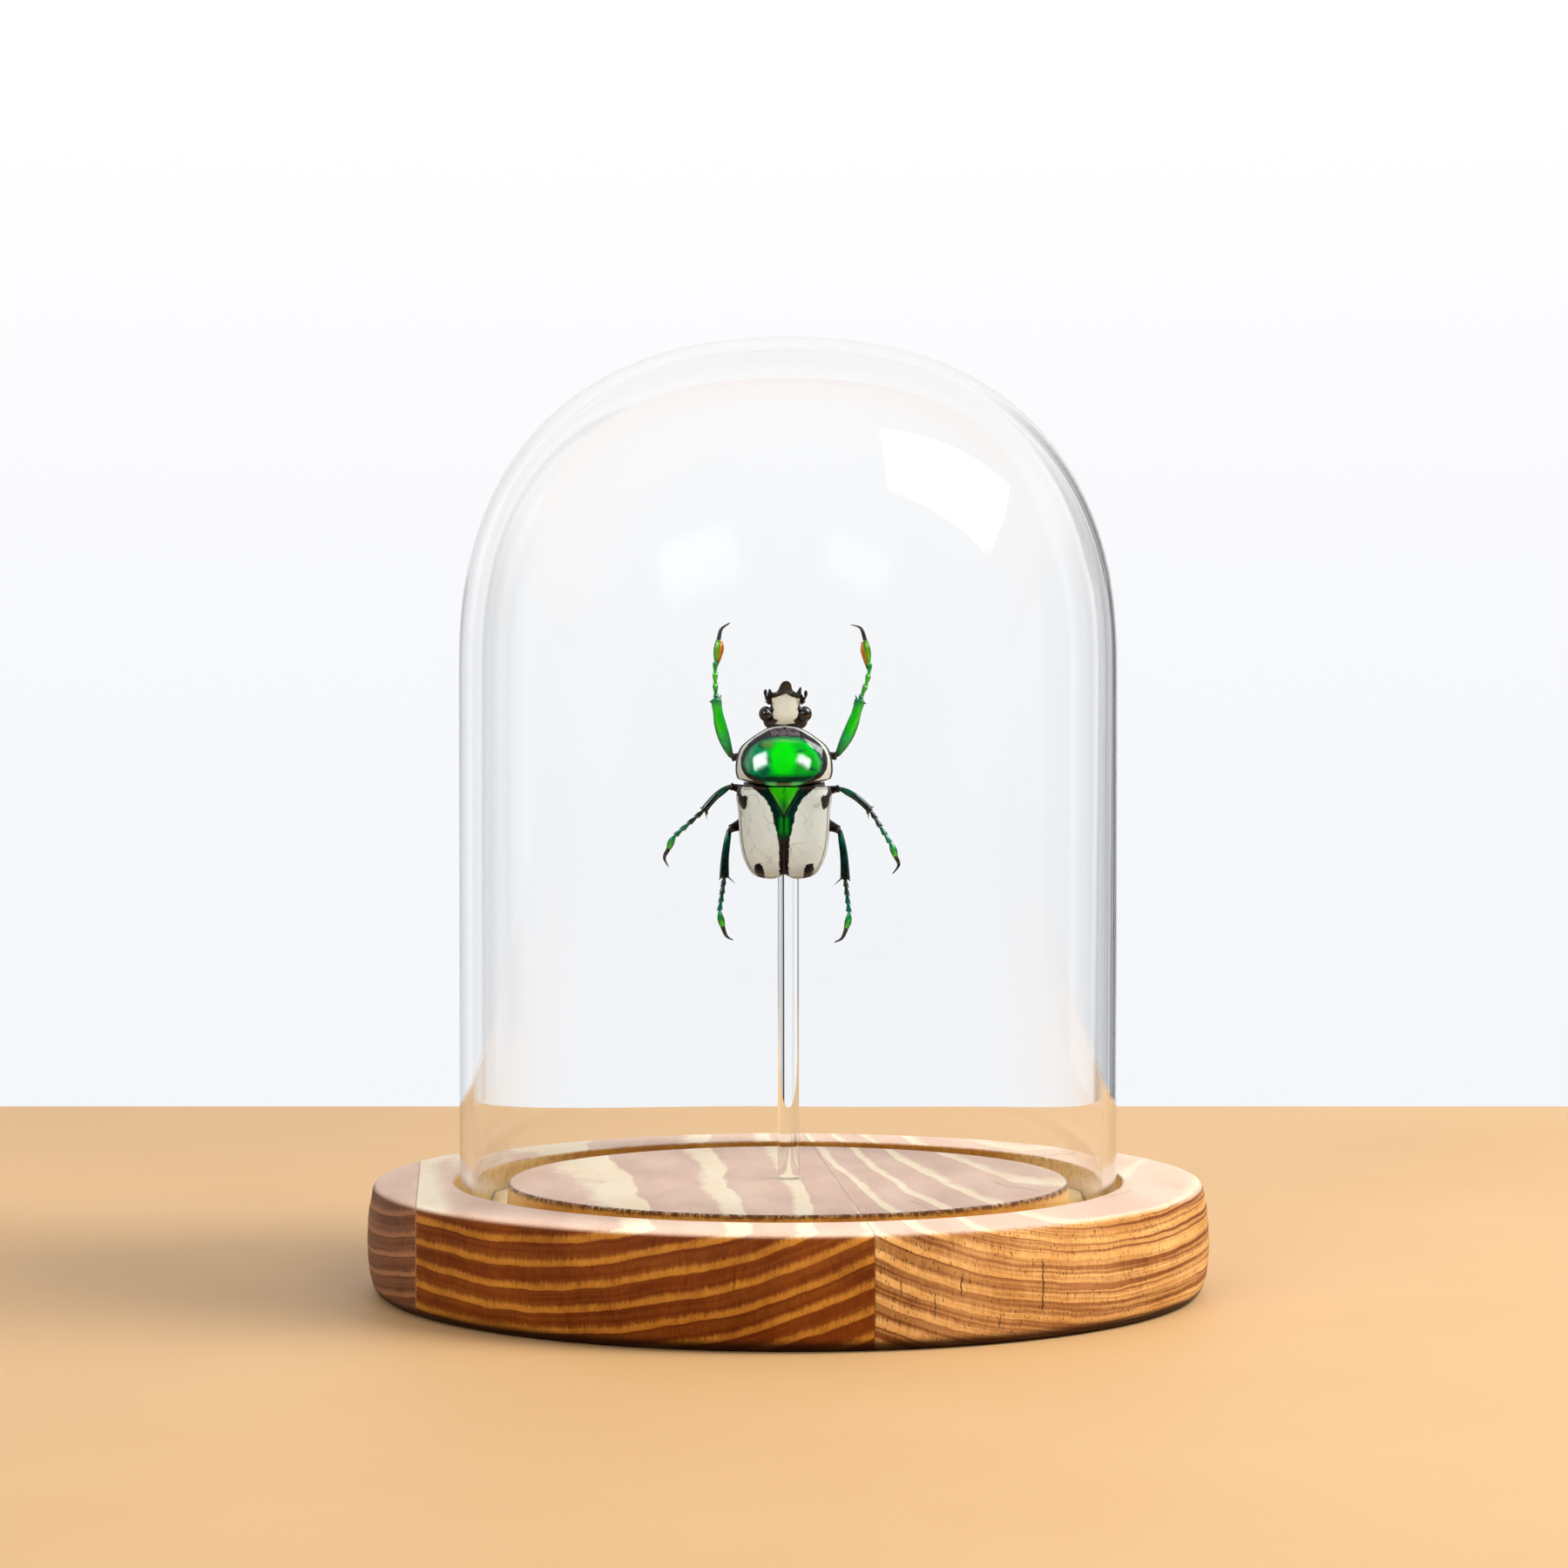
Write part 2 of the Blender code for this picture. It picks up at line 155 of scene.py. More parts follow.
class Shader:
    """A Principled material built node by node. Its coordinates are the object's own, in millimetres."""

    def __init__(self, name, **settings):
        self.material = bpy.data.materials.new(name)
        self.material.use_nodes = True
        self.tree = self.material.node_tree
        self.surface = self.tree.nodes["Principled BSDF"]
        for key, value in settings.items():
            self.feed(self.surface.inputs[key.replace("_", " ")], value)
        place = self.node("TexCoord", {}, "Object")
        self.here = self.node("VectorMath", {0: place, 1: (1 / MM,) * 3}, operation="MULTIPLY")
        split = self.tree.nodes.new("ShaderNodeSeparateXYZ")
        self.feed(split.inputs[0], self.here)
        self.x, self.y, self.z = (Value(self, socket) for socket in split.outputs)

    def feed(self, socket, value):
        if isinstance(value, Value):
            self.tree.links.new(value.socket, socket)
        elif socket.type == "RGBA":
            socket.default_value = (*value[:3], 1)
        else:
            socket.default_value = value

    def node(self, kind, inputs, output=0, **properties):
        made = self.tree.nodes.new("ShaderNode" + kind)
        for key, value in properties.items():
            setattr(made, key, value)
        for key, value in inputs.items():
            self.feed(made.inputs[key], value)
        return Value(self, made.outputs[output])

    def set(self, **sockets):
        for key, value in sockets.items():
            self.feed(self.surface.inputs[key.replace("_", " ")], value)
        return self

    def math(self, operation, *values):
        return self.node("Math", dict(enumerate(values)), operation=operation)

    def max(self, a, b):
        return self.math("MAXIMUM", a, b)

    def mix(self, factor, a, b):
        return self.node("Mix", {0: factor, 6: a, 7: b}, 2, data_type="RGBA")

    def pick(self, factor, a, b):
        return self.node("Mix", {0: factor, 2: a, 3: b}, 0, data_type="FLOAT")

    def step(self, value, start, end, low=0.0, high=1.0):
        """Rises smoothly from low at start to high at end."""
        ends = {0: value, 1: start, 2: end, 3: low, 4: high}
        return self.node("MapRange", ends, interpolation_type="SMOOTHSTEP")

    def ramp(self, factor, *stops):
        made = self.tree.nodes.new("ShaderNodeValToRGB")
        elements = made.color_ramp.elements
        while len(elements) < len(stops):
            elements.new(0.5)
        for element, (position, colour) in zip(elements, stops):
            element.position = position
            element.color = (*colour, 1)
        self.feed(made.inputs[0], factor)
        return Value(self, made.outputs[0])

    def stretch(self, counts):
        """The place, in features a millimetre: one count, or one for each axis. A Value is used as it is."""
        if isinstance(counts, Value):
            return counts
        counts = counts if isinstance(counts, tuple) else (counts,) * 3
        return self.node("VectorMath", {0: self.here, 1: counts}, operation="MULTIPLY")

    def noise(self, counts, detail=3.0, rough=0.55, output="Fac"):
        inputs = {"Vector": self.stretch(counts), "Scale": 1.0, "Detail": detail, "Roughness": rough}
        return self.node("TexNoise", inputs, output)

    def cells(self, counts, feature="DISTANCE_TO_EDGE"):
        inputs = {"Vector": self.stretch(counts), "Scale": 1.0}
        return self.node("TexVoronoi", inputs, "Distance", feature=feature)

    def length(self, a, b):
        return self.math("SQRT", a * a + b * b)

    def attribute(self, name):
        return self.node("Attribute", {}, "Fac", attribute_name=name)

    def bump(self, height, depth):
        """A normal for a height of 0 to 1 that is depth millimetres deep."""
        return self.node("Bump", {"Strength": 1.0, "Distance": depth * MM, "Height": height})


# ---------------------------------------------------------------- wooden base

BASE_RADIUS = 60.0
BASE_HEIGHT = 15.5
GROOVE_INNER = 40.0
GROOVE_OUTER = 47.65
GROOVE_DEPTH = 4.0
ROD_RADIUS = 1.55
ROD_HOLE_RADIUS = ROD_RADIUS + 0.07
ROD_HOLE_DEPTH = 8.0
# How far the side stands in from the widest radius, against height: the turned side is a soft barrel.
SIDE_INSETS = [(2.7, 0.40), (3.7, 0.24), (4.9, 0.10), (7.4, 0.0), (10.4, 0.12), (12.0, 0.3), (13.4, 0.6)]
# Rounded edges of the base, and how far the foot and the top stand in where the side meets them.
FOOT_EDGE = 2.1
TOP_EDGE = 1.25
RIM_EDGE = 0.35
FOOT_INSET = 0.62
TOP_INSET = 0.72
UNDERSIDE_INSET = 1.7
BASE_STEPS = 288

# Each board is cut from a log, given by where its heart passes (x, z at y 0, and how that drifts along y),
# the distance between rings, and the radius of one pale ring.
BOARDS = {
    "left": {"heart": (-75.0, 84.0), "drift": (0.01, 0.02), "spacing": 2.75, "ring": 70.0},
    "middle": {"heart": (-42.0, 135.5), "drift": (0.007, 0.023), "spacing": 3.009, "ring": 121.05},
    "right": {"heart": (40.3, 69.4), "drift": (-0.0215, -0.0617), "spacing": 2.647, "ring": 64.7},
}
SEAM_LEAN = 0.0743
LEFT_SEAM = -52.9
RIGHT_SEAM = 6.8


def base_profile():
    top = BASE_HEIGHT
    floor = top - GROOVE_DEPTH
    hole_floor = top - ROD_HOLE_DEPTH
    outer = BASE_RADIUS
    profile = [(0, 0)] + spread((0, 0), (outer - UNDERSIDE_INSET, 0), 12)
    profile += arc((outer - FOOT_INSET - FOOT_EDGE, FOOT_EDGE), FOOT_EDGE, -90, -8, 8)
    profile += [(outer - inset, height) for height, inset in SIDE_INSETS]
    profile += arc((outer - TOP_INSET - TOP_EDGE, top - TOP_EDGE), TOP_EDGE, 6, 90, 9)
    profile += spread((outer - TOP_INSET - TOP_EDGE, top), (GROOVE_OUTER + RIM_EDGE, top), 14)
    profile += arc((GROOVE_OUTER + RIM_EDGE, top - RIM_EDGE), RIM_EDGE, 90, 180, 5)
    profile += spread((GROOVE_OUTER, top - RIM_EDGE), (GROOVE_OUTER, floor), 8)
    profile += [(GROOVE_OUTER, floor)] + spread((GROOVE_OUTER, floor), (GROOVE_INNER, floor), 10)
    profile += [(GROOVE_INNER, floor)] + spread((GROOVE_INNER, floor), (GROOVE_INNER, top - RIM_EDGE), 8)
    profile += arc((GROOVE_INNER - RIM_EDGE, top - RIM_EDGE), RIM_EDGE, 0, 90, 5)
    profile += spread((GROOVE_INNER - RIM_EDGE, top), (ROD_HOLE_RADIUS, top), 40)
    profile += [(ROD_HOLE_RADIUS, top)] + spread((ROD_HOLE_RADIUS, top), (ROD_HOLE_RADIUS, hole_floor), 6)
    return profile + [(ROD_HOLE_RADIUS, hole_floor), (0, hole_floor)]


def tool_marks(angle, radius, height):
    """The groove wanders a little where the cutter tore the grain, and the side carries sanding flats."""
    place = Vector((math.cos(angle), math.sin(angle), 0))
    if GROOVE_INNER - 0.5 < radius < GROOVE_INNER + 0.1:
        return 0.13 * noise.fractal(place * 26 + Vector((0, 0, height * 0.4)), 1, 2, 4)
    if GROOVE_OUTER - 0.1 < radius < GROOVE_OUTER + 0.5:
        return 0.08 * noise.fractal(place * 20 + Vector((5, 0, height * 0.3)), 1, 2, 3)
    if radius > BASE_RADIUS - 3 and height > 0:
        return -0.04 + 0.05 * noise.noise(place * 7 + Vector((0, 3, height * 0.12)))
    return 0


# Cracks in the front of the side: where across, from which height to which, half width.
CRACKS = [(33.4, 3.4, 11.2, 0.17), (22.5, 6.4, 10.2, 0.14), (18.9, 3.6, 7.4, 0.12), (-7.0, 7.6, 11.2, 0.10),
          (-25.5, 9.6, 11.4, 0.11), (27.6, 1.8, 4.6, 0.10), (14.6, 7.0, 9.8, 0.10)]
CRACK_FRONT = (-20.0, -22.0)

# Keeps the count of rings positive, and puts the pale ring in the middle of each. Twin lines sit off it.
RING_SHIFT = 40.5
TWIN_SHIFT = 40.15

# Colours of single features of the wood, and of light and shade painted on it.
# Painted shade on the top outside the groove.
PAINTED_OUTER_SHADE = (0.44, 0.305, 0.215)
TWIN_LINE = (0.20, 0.11, 0.075)
PORE = (0.07, 0.022, 0.008)
TICK = (0.085, 0.028, 0.010)
CRACK = (0.05, 0.016, 0.007)
LEFT_GLUE_LINE = (0.36, 0.17, 0.06)
RIGHT_GLUE_LINE = (0.10, 0.04, 0.02)
# Painted contact shadow along the foot.
PAINTED_FOOT_SHADOW = (0.020, 0.006, 0.002)
# Painted light on the ends of the groove wall.
GROOVE_END_PAINTED_LIGHT = (0.99, 0.66, 0.25)
SCORCH = (0.10, 0.029, 0.006)
OUTER_SCORCH = (0.36, 0.13, 0.03)
DRIED_GLUE = (0.95, 0.86, 0.66)


def stained_pine():
    s = Shader("stained_pine", IOR=1.5, Specular_IOR_Level=0.05)
    lean = s.x + s.y * SEAM_LEAN
    on_left = s.step(lean, LEFT_SEAM + 0.03, LEFT_SEAM - 0.03)
    on_right = s.step(lean, RIGHT_SEAM - 0.03, RIGHT_SEAM + 0.03)

    def by_board(left, middle, right, choose=s.pick):
        return choose(on_right, choose(on_left, middle, left), right)

    def board_value(key, index=None):
        values = [BOARDS[name][key] if index is None else BOARDS[name][key][index] for name in BOARDS]
        return by_board(*values)

    top = s.step(s.z, BASE_HEIGHT - 0.75, BASE_HEIGHT - 0.1)
    across = s.x - board_value("heart", 0) - s.y * board_value("drift", 0)
    above = s.z - board_value("heart", 1) - s.y * board_value("drift", 1)
    wander = s.noise((0.085, 0.03, 0.085), 2) - 0.5
    ripple = s.noise((0.38, 0.05, 0.38), 2, 0.5) - 0.5
    radius = s.length(across, above) + (wander * 1.5 + ripple * 0.34)
    rings = (radius - board_value("ring")) / board_value("spacing")
    ring = s.math("FRACT", rings + RING_SHIFT)

    # Pale late wood comes in slowly and stops at a sharp edge on the side away from the heart.
    brushed = s.noise((2.6, 2.6, 0.5), 4, 0.65)
    pores = s.noise((4.5, 0.35, 4.5), 3, 0.7)
    fleck = brushed * 0.5 + pores * 0.5 - 0.5
    fleck = fleck * s.pick(top, 1.0, 0.35)
    rise = ring + fleck * 0.5
    slow = by_board(0.30, 0.24, s.pick(top, 0.10, 0.30))
    full = by_board(0.56, 0.50, s.pick(top, 0.46, 0.58))
    pale = s.step(rise, slow, full) * s.step(ring + fleck * 0.22, 0.70, 0.63)
    patch = s.noise((0.12, 0.04, 0.12), 3)
    faded = s.step(s.noise((0.25, 0.25, 0.12), 3, 0.6), 0.25, 0.6, 0.6, 1.0)
    pale = pale * s.pick(on_left, faded, 0.5)

    # Thin lines within the rings, and the short dark ends of vessels in the sawn side.
    thread = s.node("CombineXYZ", {0: rings * 6.5, 1: s.x * 0.035, 2: s.y * 0.02})
    lines = s.step(s.noise(thread, 1, 0.4), 0.40, 0.62)
    far_right = s.step(s.x, 14.0, 34.0)
    broad = pale * by_board(1.0, 1.0, s.pick(far_right, 1.0, 0.65))
    lines = lines * by_board(0.16, 0.10, s.pick(far_right, 0.30, 0.66))
    pale = s.math("MINIMUM", 1.0, broad + lines * s.pick(top, 1.0, 0.15))
    tick_areas = s.step(s.noise((0.16, 0.16, 0.3), 3, 0.6), 0.32, 0.52)
    ticks = s.step(s.cells((2.3, 2.3, 0.8), "F1"), 0.26, 0.12) * tick_areas

    tone = s.step(patch * 0.6 + brushed * 0.4, 0.32, 0.68)
    right_middle = s.step(s.x, 12.0, 26.0) * s.step(s.x, 52.0, 38.0)
    side_dark = by_board(
        s.mix(tone, (0.064, 0.022, 0.010), (0.165, 0.061, 0.024)),
        s.mix(tone, (0.090, 0.0165, 0.0015), (0.186, 0.040, 0.004)),
        s.mix(right_middle, s.mix(tone, (0.125, 0.033, 0.006), (0.245, 0.080, 0.018)),
              s.mix(tone, (0.240, 0.085, 0.024), (0.400, 0.165, 0.055))), s.mix)
    side_pale = by_board(
        (0.43, 0.195, 0.090), s.mix(tone, (0.33, 0.115, 0.012), (0.50, 0.205, 0.027)),
        s.mix(tone, (0.52, 0.235, 0.058), (0.74, 0.42, 0.150)), s.mix)
    # The top's colours are its paler wood with a painted glancing reflection in them.
    top_dark_painted_sheen = s.mix(tone, (0.615, 0.382, 0.268), (0.800, 0.560, 0.415))
    top_pale_painted_sheen = s.mix(tone, (0.88, 0.70, 0.46), (0.95, 0.82, 0.62))
    side = s.mix(pale, side_dark, side_pale)

    # On the top a wide pale streak follows the left seam, and the right end is a little paler. Outside the
    # groove painted shade darkens the wood, more to the right, and thin dark twin lines run in parts of the
    # right board.
    hub = s.length(s.x, s.y)
    streak_end = s.step(lean + s.y * 0.05, -48.6, -51.6)
    beside_seam = s.step(lean, LEFT_SEAM, LEFT_SEAM + 0.2) * streak_end
    right_end = s.step(s.x + s.y * 0.25, 38.0, 52.0) * 0.3
    pale_areas = s.max(beside_seam, right_end) * s.step(patch, 0.25, 0.5)
    top_side = s.mix(s.max(s.step(pale, 0.12, 0.78), pale_areas), top_dark_painted_sheen, top_pale_painted_sheen)
    # Painted shade outside the groove, deeper to the right.
    outside = s.step(hub, GROOVE_OUTER - 1.0, GROOVE_OUTER)
    top_side = s.mix(outside * s.step(s.x, -50.0, 54.0, 0.12, 0.52), top_side, PAINTED_OUTER_SHADE)
    twin = s.step(abs(s.math("FRACT", rings + TWIN_SHIFT) - 0.5), 0.035, 0.012)
    twin = twin * (on_right * s.step(s.noise((0.1, 0.02, 0.1), 1), 0.5, 0.56))
    top_side = s.mix(twin * 0.28, top_side, TWIN_LINE)
    colour = s.mix(top, side, top_side)

    # Dark pores, ticks and cracks of the side, the thin glue lines, and painted shadow at the foot.
    dark_pore = s.step(s.noise((3.2, 3.2, 0.9), 2, 0.6), 0.64, 0.72) * 0.55
    colour = s.mix(dark_pore * by_board(0.5, 0.6, 1.0), colour, PORE)
    colour = s.mix(ticks * (1.0 - top) * by_board(0.45, 0.4, 0.9), colour, TICK)
    shiver = (s.noise((0.1, 0.1, 1.1), 3, 0.6) - 0.5) * 0.9
    split = None
    for place, low, high, wide in CRACKS:
        gap = abs(s.x + shiver - place)
        tall = s.step(s.z, low, low + 1.2) * s.step(s.z, high, high - 1.0)
        crack = s.step(gap, wide, wide * 0.3) * tall
        split = crack if split is None else s.max(split, crack)
    split = split * s.step(s.y, *CRACK_FRONT)
    colour = s.mix(split * 0.8, colour, CRACK)
    seams = [s.step(abs(lean - seam), 0.16, 0.02) for seam in (LEFT_SEAM, RIGHT_SEAM)]
    colour = s.mix(seams[0] * 0.6, colour, LEFT_GLUE_LINE)
    colour = s.mix(seams[1] * 0.35, colour, RIGHT_GLUE_LINE)
    # Painted contact shadow along the foot.
    colour = s.mix(s.step(s.z, FOOT_EDGE, 0.8) * 0.92, colour, PAINTED_FOOT_SHADOW)

    # The routed groove is bare wood with scorched rims, and a drop of dried glue rings the foot of the rod.
    tatter = (s.noise(0.9, 4, 0.7) - 0.5) * 1.1
    inside = s.step(hub, GROOVE_INNER - 0.25, GROOVE_INNER - 0.05)
    inside = inside * s.step(hub, GROOVE_OUTER + 0.25, GROOVE_OUTER + 0.05)
    inside = inside * s.step(s.z, BASE_HEIGHT - 0.02, BASE_HEIGHT - 0.3)
    deep = s.step(s.z, BASE_HEIGHT - GROOVE_DEPTH + 0.8, BASE_HEIGHT - GROOVE_DEPTH)
    wall = s.mix(tone, (0.56, 0.20, 0.022), (0.78, 0.36, 0.065))
    # Painted light: the groove wall is paler at its left and right ends.
    wall = s.mix(s.step(abs(s.x), 31.0, 41.0) * 0.85, wall, GROOVE_END_PAINTED_LIGHT)
    bare = s.mix(deep, wall, s.mix(pale, (0.98, 0.71, 0.33), (0.99, 0.81, 0.47)))
    colour = s.mix(inside, colour, bare)
    rim = abs(hub - (GROOVE_INNER - 0.12) + tatter * 0.25)
    scorch = s.step(rim, 0.34, 0.10) * s.step(s.z + tatter, BASE_HEIGHT - 0.8, BASE_HEIGHT - 0.3)
    torn = s.step(s.noise((1.5, 1.5, 0.6), 3, 0.7), 0.36, 0.56, 0.25, 0.95)
    colour = s.mix(scorch * torn, colour, SCORCH)
    far_rim = s.step(abs(hub - (GROOVE_OUTER + 0.12)), 0.3, 0.05) * s.step(tatter, -0.1, 0.2)
    colour = s.mix(far_rim * 0.5, colour, OUTER_SCORCH)
    glue = s.step(hub + tatter * 0.25, ROD_RADIUS + 0.75, ROD_RADIUS + 0.35) * 0.9
    colour = s.mix(glue, colour, DRIED_GLUE)

    grain = pale * 0.45 + (brushed * 0.3 + pores * 0.25)
    grain = grain - (split + ticks * 0.35 + (seams[0] + seams[1]) * 0.25)
    satin = s.pick(top * (1.0 - inside), 0.5, 0.36)
    rough = satin + (pores - 0.5) * 0.25
    return s.set(Base_Color=colour, Roughness=rough, Normal=s.bump(grain, 0.09)).material


# ---------------------------------------------------------------- glass

DOME_RADIUS = 46.9
DOME_WALL = 1.8
DOME_TOP = 135.3
DOME_SHOULDER = 88.0
DOME_SQUARENESS = 2.35
DOME_FOOT = BASE_HEIGHT - GROOVE_DEPTH + 0.3
DOME_STEPS = 384
WALL_ROWS = 20
CROWN_ROWS = 52
ROD_FOOT = 7.8
ROD_TOP = 69.5
ROD_EDGE = 0.32
ROD_STEPS = 72
GLASS_COLOUR = (0.985, 0.989, 0.988)
# Dims reflections seen head-on, so that the windows show in the glass as faintly as in the photo.
GLASS_TINT = (0.07, 0.07, 0.07)


def dome_face(inset):
    """One face of the glass, up the straight wall, over the shoulder and in to the axis."""
    radius, height = DOME_RADIUS - inset, DOME_TOP - DOME_SHOULDER - inset
    profile = spread((radius, DOME_FOOT + DOME_WALL / 2), (radius, DOME_SHOULDER), WALL_ROWS)
    for row in range(CROWN_ROWS):
        angle = math.pi / 2 * row / CROWN_ROWS
        profile.append((radius * math.cos(angle) ** (2 / DOME_SQUARENESS),
                        DOME_SHOULDER + height * math.sin(angle) ** (2 / DOME_SQUARENESS)))
    return profile + [(0, DOME_SHOULDER + height)]


def dome_profile():
    half = DOME_WALL / 2
    rim = arc((DOME_RADIUS - half, DOME_FOOT + half), half, -180, 0, 13)
    return dome_face(DOME_WALL)[::-1] + rim + dome_face(0)


def blown(angle, radius, height):
    """Blown glass is never quite true: long soft waves run up the wall."""
    place = Vector((math.cos(angle) * 1.7, math.sin(angle) * 1.7, height * 0.012))
    side = 0.0 if radius > DOME_RADIUS - 1 else 4.0
    return -0.05 + 0.045 * noise.noise(place + Vector((side, 0, 0)))


def clear_glass(name, ior, draw):
    """Clear glass. draw is how far the faint drawing lines are stretched along the height."""
    s = Shader(name, Base_Color=GLASS_COLOUR, IOR=ior, Transmission_Weight=1.0, Specular_Tint=GLASS_TINT)
    lines = s.noise((0.22, 0.22, 0.22 * draw), 2, 0.4) * s.step(s.z, 112.0, 84.0)
    film = s.step(s.noise(0.05, 4, 0.6), 0.55, 0.8, 0.0, 0.012)
    return s.set(Roughness=film, Normal=s.bump(lines, 0.003)).material


def rod_profile():
    edge = ROD_EDGE
    profile = [(0, ROD_FOOT)] + spread((0, ROD_FOOT), (ROD_RADIUS - edge, ROD_FOOT), 4)
    profile += arc((ROD_RADIUS - edge, ROD_FOOT + edge), edge, -90, 0, 6)
    profile += spread((ROD_RADIUS, ROD_FOOT + edge), (ROD_RADIUS, ROD_TOP - edge), 60)
    profile += arc((ROD_RADIUS - edge, ROD_TOP - edge), edge, 0, 90, 6)
    return profile + spread((ROD_RADIUS - edge, ROD_TOP), (0, ROD_TOP), 4) + [(0, ROD_TOP)]


def drawn(angle, radius, height):
    """A drawn rod is thinner here and there by a hundredth of a millimetre."""
    return -0.012 + 0.010 * noise.noise(Vector((math.cos(angle), math.sin(angle), height * 0.08)))


pine = stained_pine()
piece("turned_base", *turned(base_profile(), BASE_STEPS, tool_marks), pine, "stained_wood", ["wooden_base"])
dome_glass = clear_glass("blown_glass", 1.47, 0.12)
piece("blown_dome", *turned(dome_profile(), DOME_STEPS, blown), dome_glass, "clear_glass", ["glass_dome"])
rod_glass = clear_glass("drawn_glass", 1.49, 0.02)
piece("drawn_rod", *turned(rod_profile(), ROD_STEPS, drawn), rod_glass, "clear_rod", ["glass_rod"])

# ---------------------------------------------------------------- beetle shapes
# The beetle is worked out lying on its belly: +Y towards the head, +Z out of its back, the origin on the
# midline where the pronotum meets the scutellum. BEETLE stands it up in front of the rod, back to the viewer.

PRONOTUM_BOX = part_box("pronotum")
WING_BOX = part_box("elytron_left")
CAD_WING_TOP = -0.3
BEETLE = Matrix.Translation(((PRONOTUM_BOX[0].x + PRONOTUM_BOX[1].x) / 2, WING_BOX[1].y,
                             WING_BOX[1].z - CAD_WING_TOP * MM)) @ Matrix.Rotation(math.pi / 2, 4, "X")
SQUARENESS = 2.4


def through(rows, count):
    """A Catmull-Rom curve through rows of numbers, with count steps between each two."""
    rows = np.asarray(rows, float)
    ends = np.vstack([2 * rows[0] - rows[1], rows, 2 * rows[-1] - rows[-2]])
    found = []
    for before, a, b, after in zip(ends, ends[1:], ends[2:], ends[3:]):
        for t in np.arange(count) / count:
            found.append(0.5 * (2 * a + (b - before) * t + (2 * before - 5 * a + 4 * b - after) * t ** 2
                                + (3 * a - before - 3 * b + after) * t ** 3))
    return np.array([*found, rows[-1]])


def hump(values, centre, width):
    return np.exp(-((values - centre) / width) ** 2)


def power(values, exponent):
    return np.sign(values) * np.abs(values) ** exponent


def skin(rings):
    """Points and faces of a closed body through rings of equal count, with a fan at each end."""
    rings = np.asarray(rings, float)
    rows, count = rings.shape[:2]
    points = np.vstack([rings.reshape(-1, 3), rings[0].mean(0), rings[-1].mean(0)])
    faces = [(row * count + k, row * count + (k + 1) % count,
              (row + 1) * count + (k + 1) % count, (row + 1) * count + k)
             for row in range(rows - 1) for k in range(count)]
    last = (rows - 1) * count
    faces += [((k + 1) % count, k, rows * count) for k in range(count)]
    faces += [(last + k, last + (k + 1) % count, rows * count + 1) for k in range(count)]
    return points, faces


def section(station, angles, centre=0.0):
    """A squarish oval across the body, whose middle is drawn forwards or back of its sides."""
    side_y, half, mid_y, rise, depth = station
    across, up = power(np.cos(angles), 2 / SQUARENESS), power(np.sin(angles), 2 / SQUARENESS)
    return np.stack([centre + half * across, side_y + (mid_y - side_y) * (1 - across ** 2),
                     up * np.where(up > 0, rise, depth)], 1)


def limb(path, count=20):
    """A body along rows of (x, y, z, half width, half height), flattened in the plane of the back."""
    path = np.asarray(path, float)
    places = path[:, :3]
    ahead = np.gradient(places, axis=0)
    ahead /= np.linalg.norm(ahead, axis=1)[:, None]
    side = np.cross(ahead, (0, 0, 1.0))
    side /= np.linalg.norm(side, axis=1)[:, None]
    up = np.cross(side, ahead)
    angles = TURN * np.arange(count) / count
    rings = [place + np.outer(np.cos(angles) * wide, s) + np.outer(np.sin(angles) * high, u)
             for place, s, u, (wide, high) in zip(places, side, up, path[:, 3:5])]
    return skin(rings)


def spine(start, end, radius, bend=(0, 0, 0)):
    """A tapering thorn from start to end, bowed by bend."""
    start, end = np.asarray(start, float), np.asarray(end, float)
    middle = (start + end) / 2 + np.asarray(bend, float)
    sizes = radius * np.array([1, 0.68, 0.2])
    rows = [(*place, size, size) for place, size in zip((start, middle, end), sizes)]
    return limb(through(rows, 6), 10)


def ball(centre, radii, steps=24):
    """A closed ovoid."""
    rows = []
    for row in range(1, steps):
        tilt = math.pi * row / steps
        turn = TURN * np.arange(2 * steps) / (2 * steps)
        ring = np.stack([np.cos(turn) * math.sin(tilt), np.full(len(turn), math.cos(tilt)),
                         np.sin(turn) * math.sin(tilt)], 1)
        rows.append(np.asarray(centre) + ring * np.asarray(radii))
    return skin(rows)


def plate(outline, low, high, lean=0.0, hinge=0.0):
    """A slab of a plan outline between two heights, leaning up beyond the line y = hinge."""
    flat = np.asarray(outline, float)
    raised = lean * np.maximum(flat[:, 1] - hinge, 0)
    bottom = np.column_stack([flat, low + raised])
    top = np.column_stack([flat, high + raised])
    count = len(flat)
    faces = [tuple(range(count - 1, -1, -1)), tuple(range(count, 2 * count))]
    faces += [(k, (k + 1) % count, count + (k + 1) % count, count + k) for k in range(count)]
    return np.vstack([bottom, top]), faces


def fused(parts, voxel=0.055, rounds=4):
    """One closed skin round overlapping closed parts."""
    points, faces = [], []
    for part_points, part_faces in parts:
        offset = sum(len(p) for p in points)
        points.append(np.asarray(part_points, float))
        faces += [tuple(corner + offset for corner in face) for face in part_faces]
    mesh = closed_mesh("fusing", np.vstack(points), faces)
    obj = in_scene("fusing", mesh)
    grid = obj.modifiers.new("grid", "REMESH")
    grid.mode = "VOXEL"
    grid.voxel_size = voxel
    soft = obj.modifiers.new("soft", "SMOOTH")
    soft.factor = 0.5
    soft.iterations = rounds
    made = obj.evaluated_get(bpy.context.evaluated_depsgraph_get()).to_mesh()
    found = np.empty(len(made.vertices) * 3)
    made.vertices.foreach_get("co", found)
    found_faces = [tuple(face.vertices) for face in made.polygons]
    bpy.data.objects.remove(obj)
    bpy.data.meshes.remove(mesh)
    return found.reshape(-1, 3), found_faces


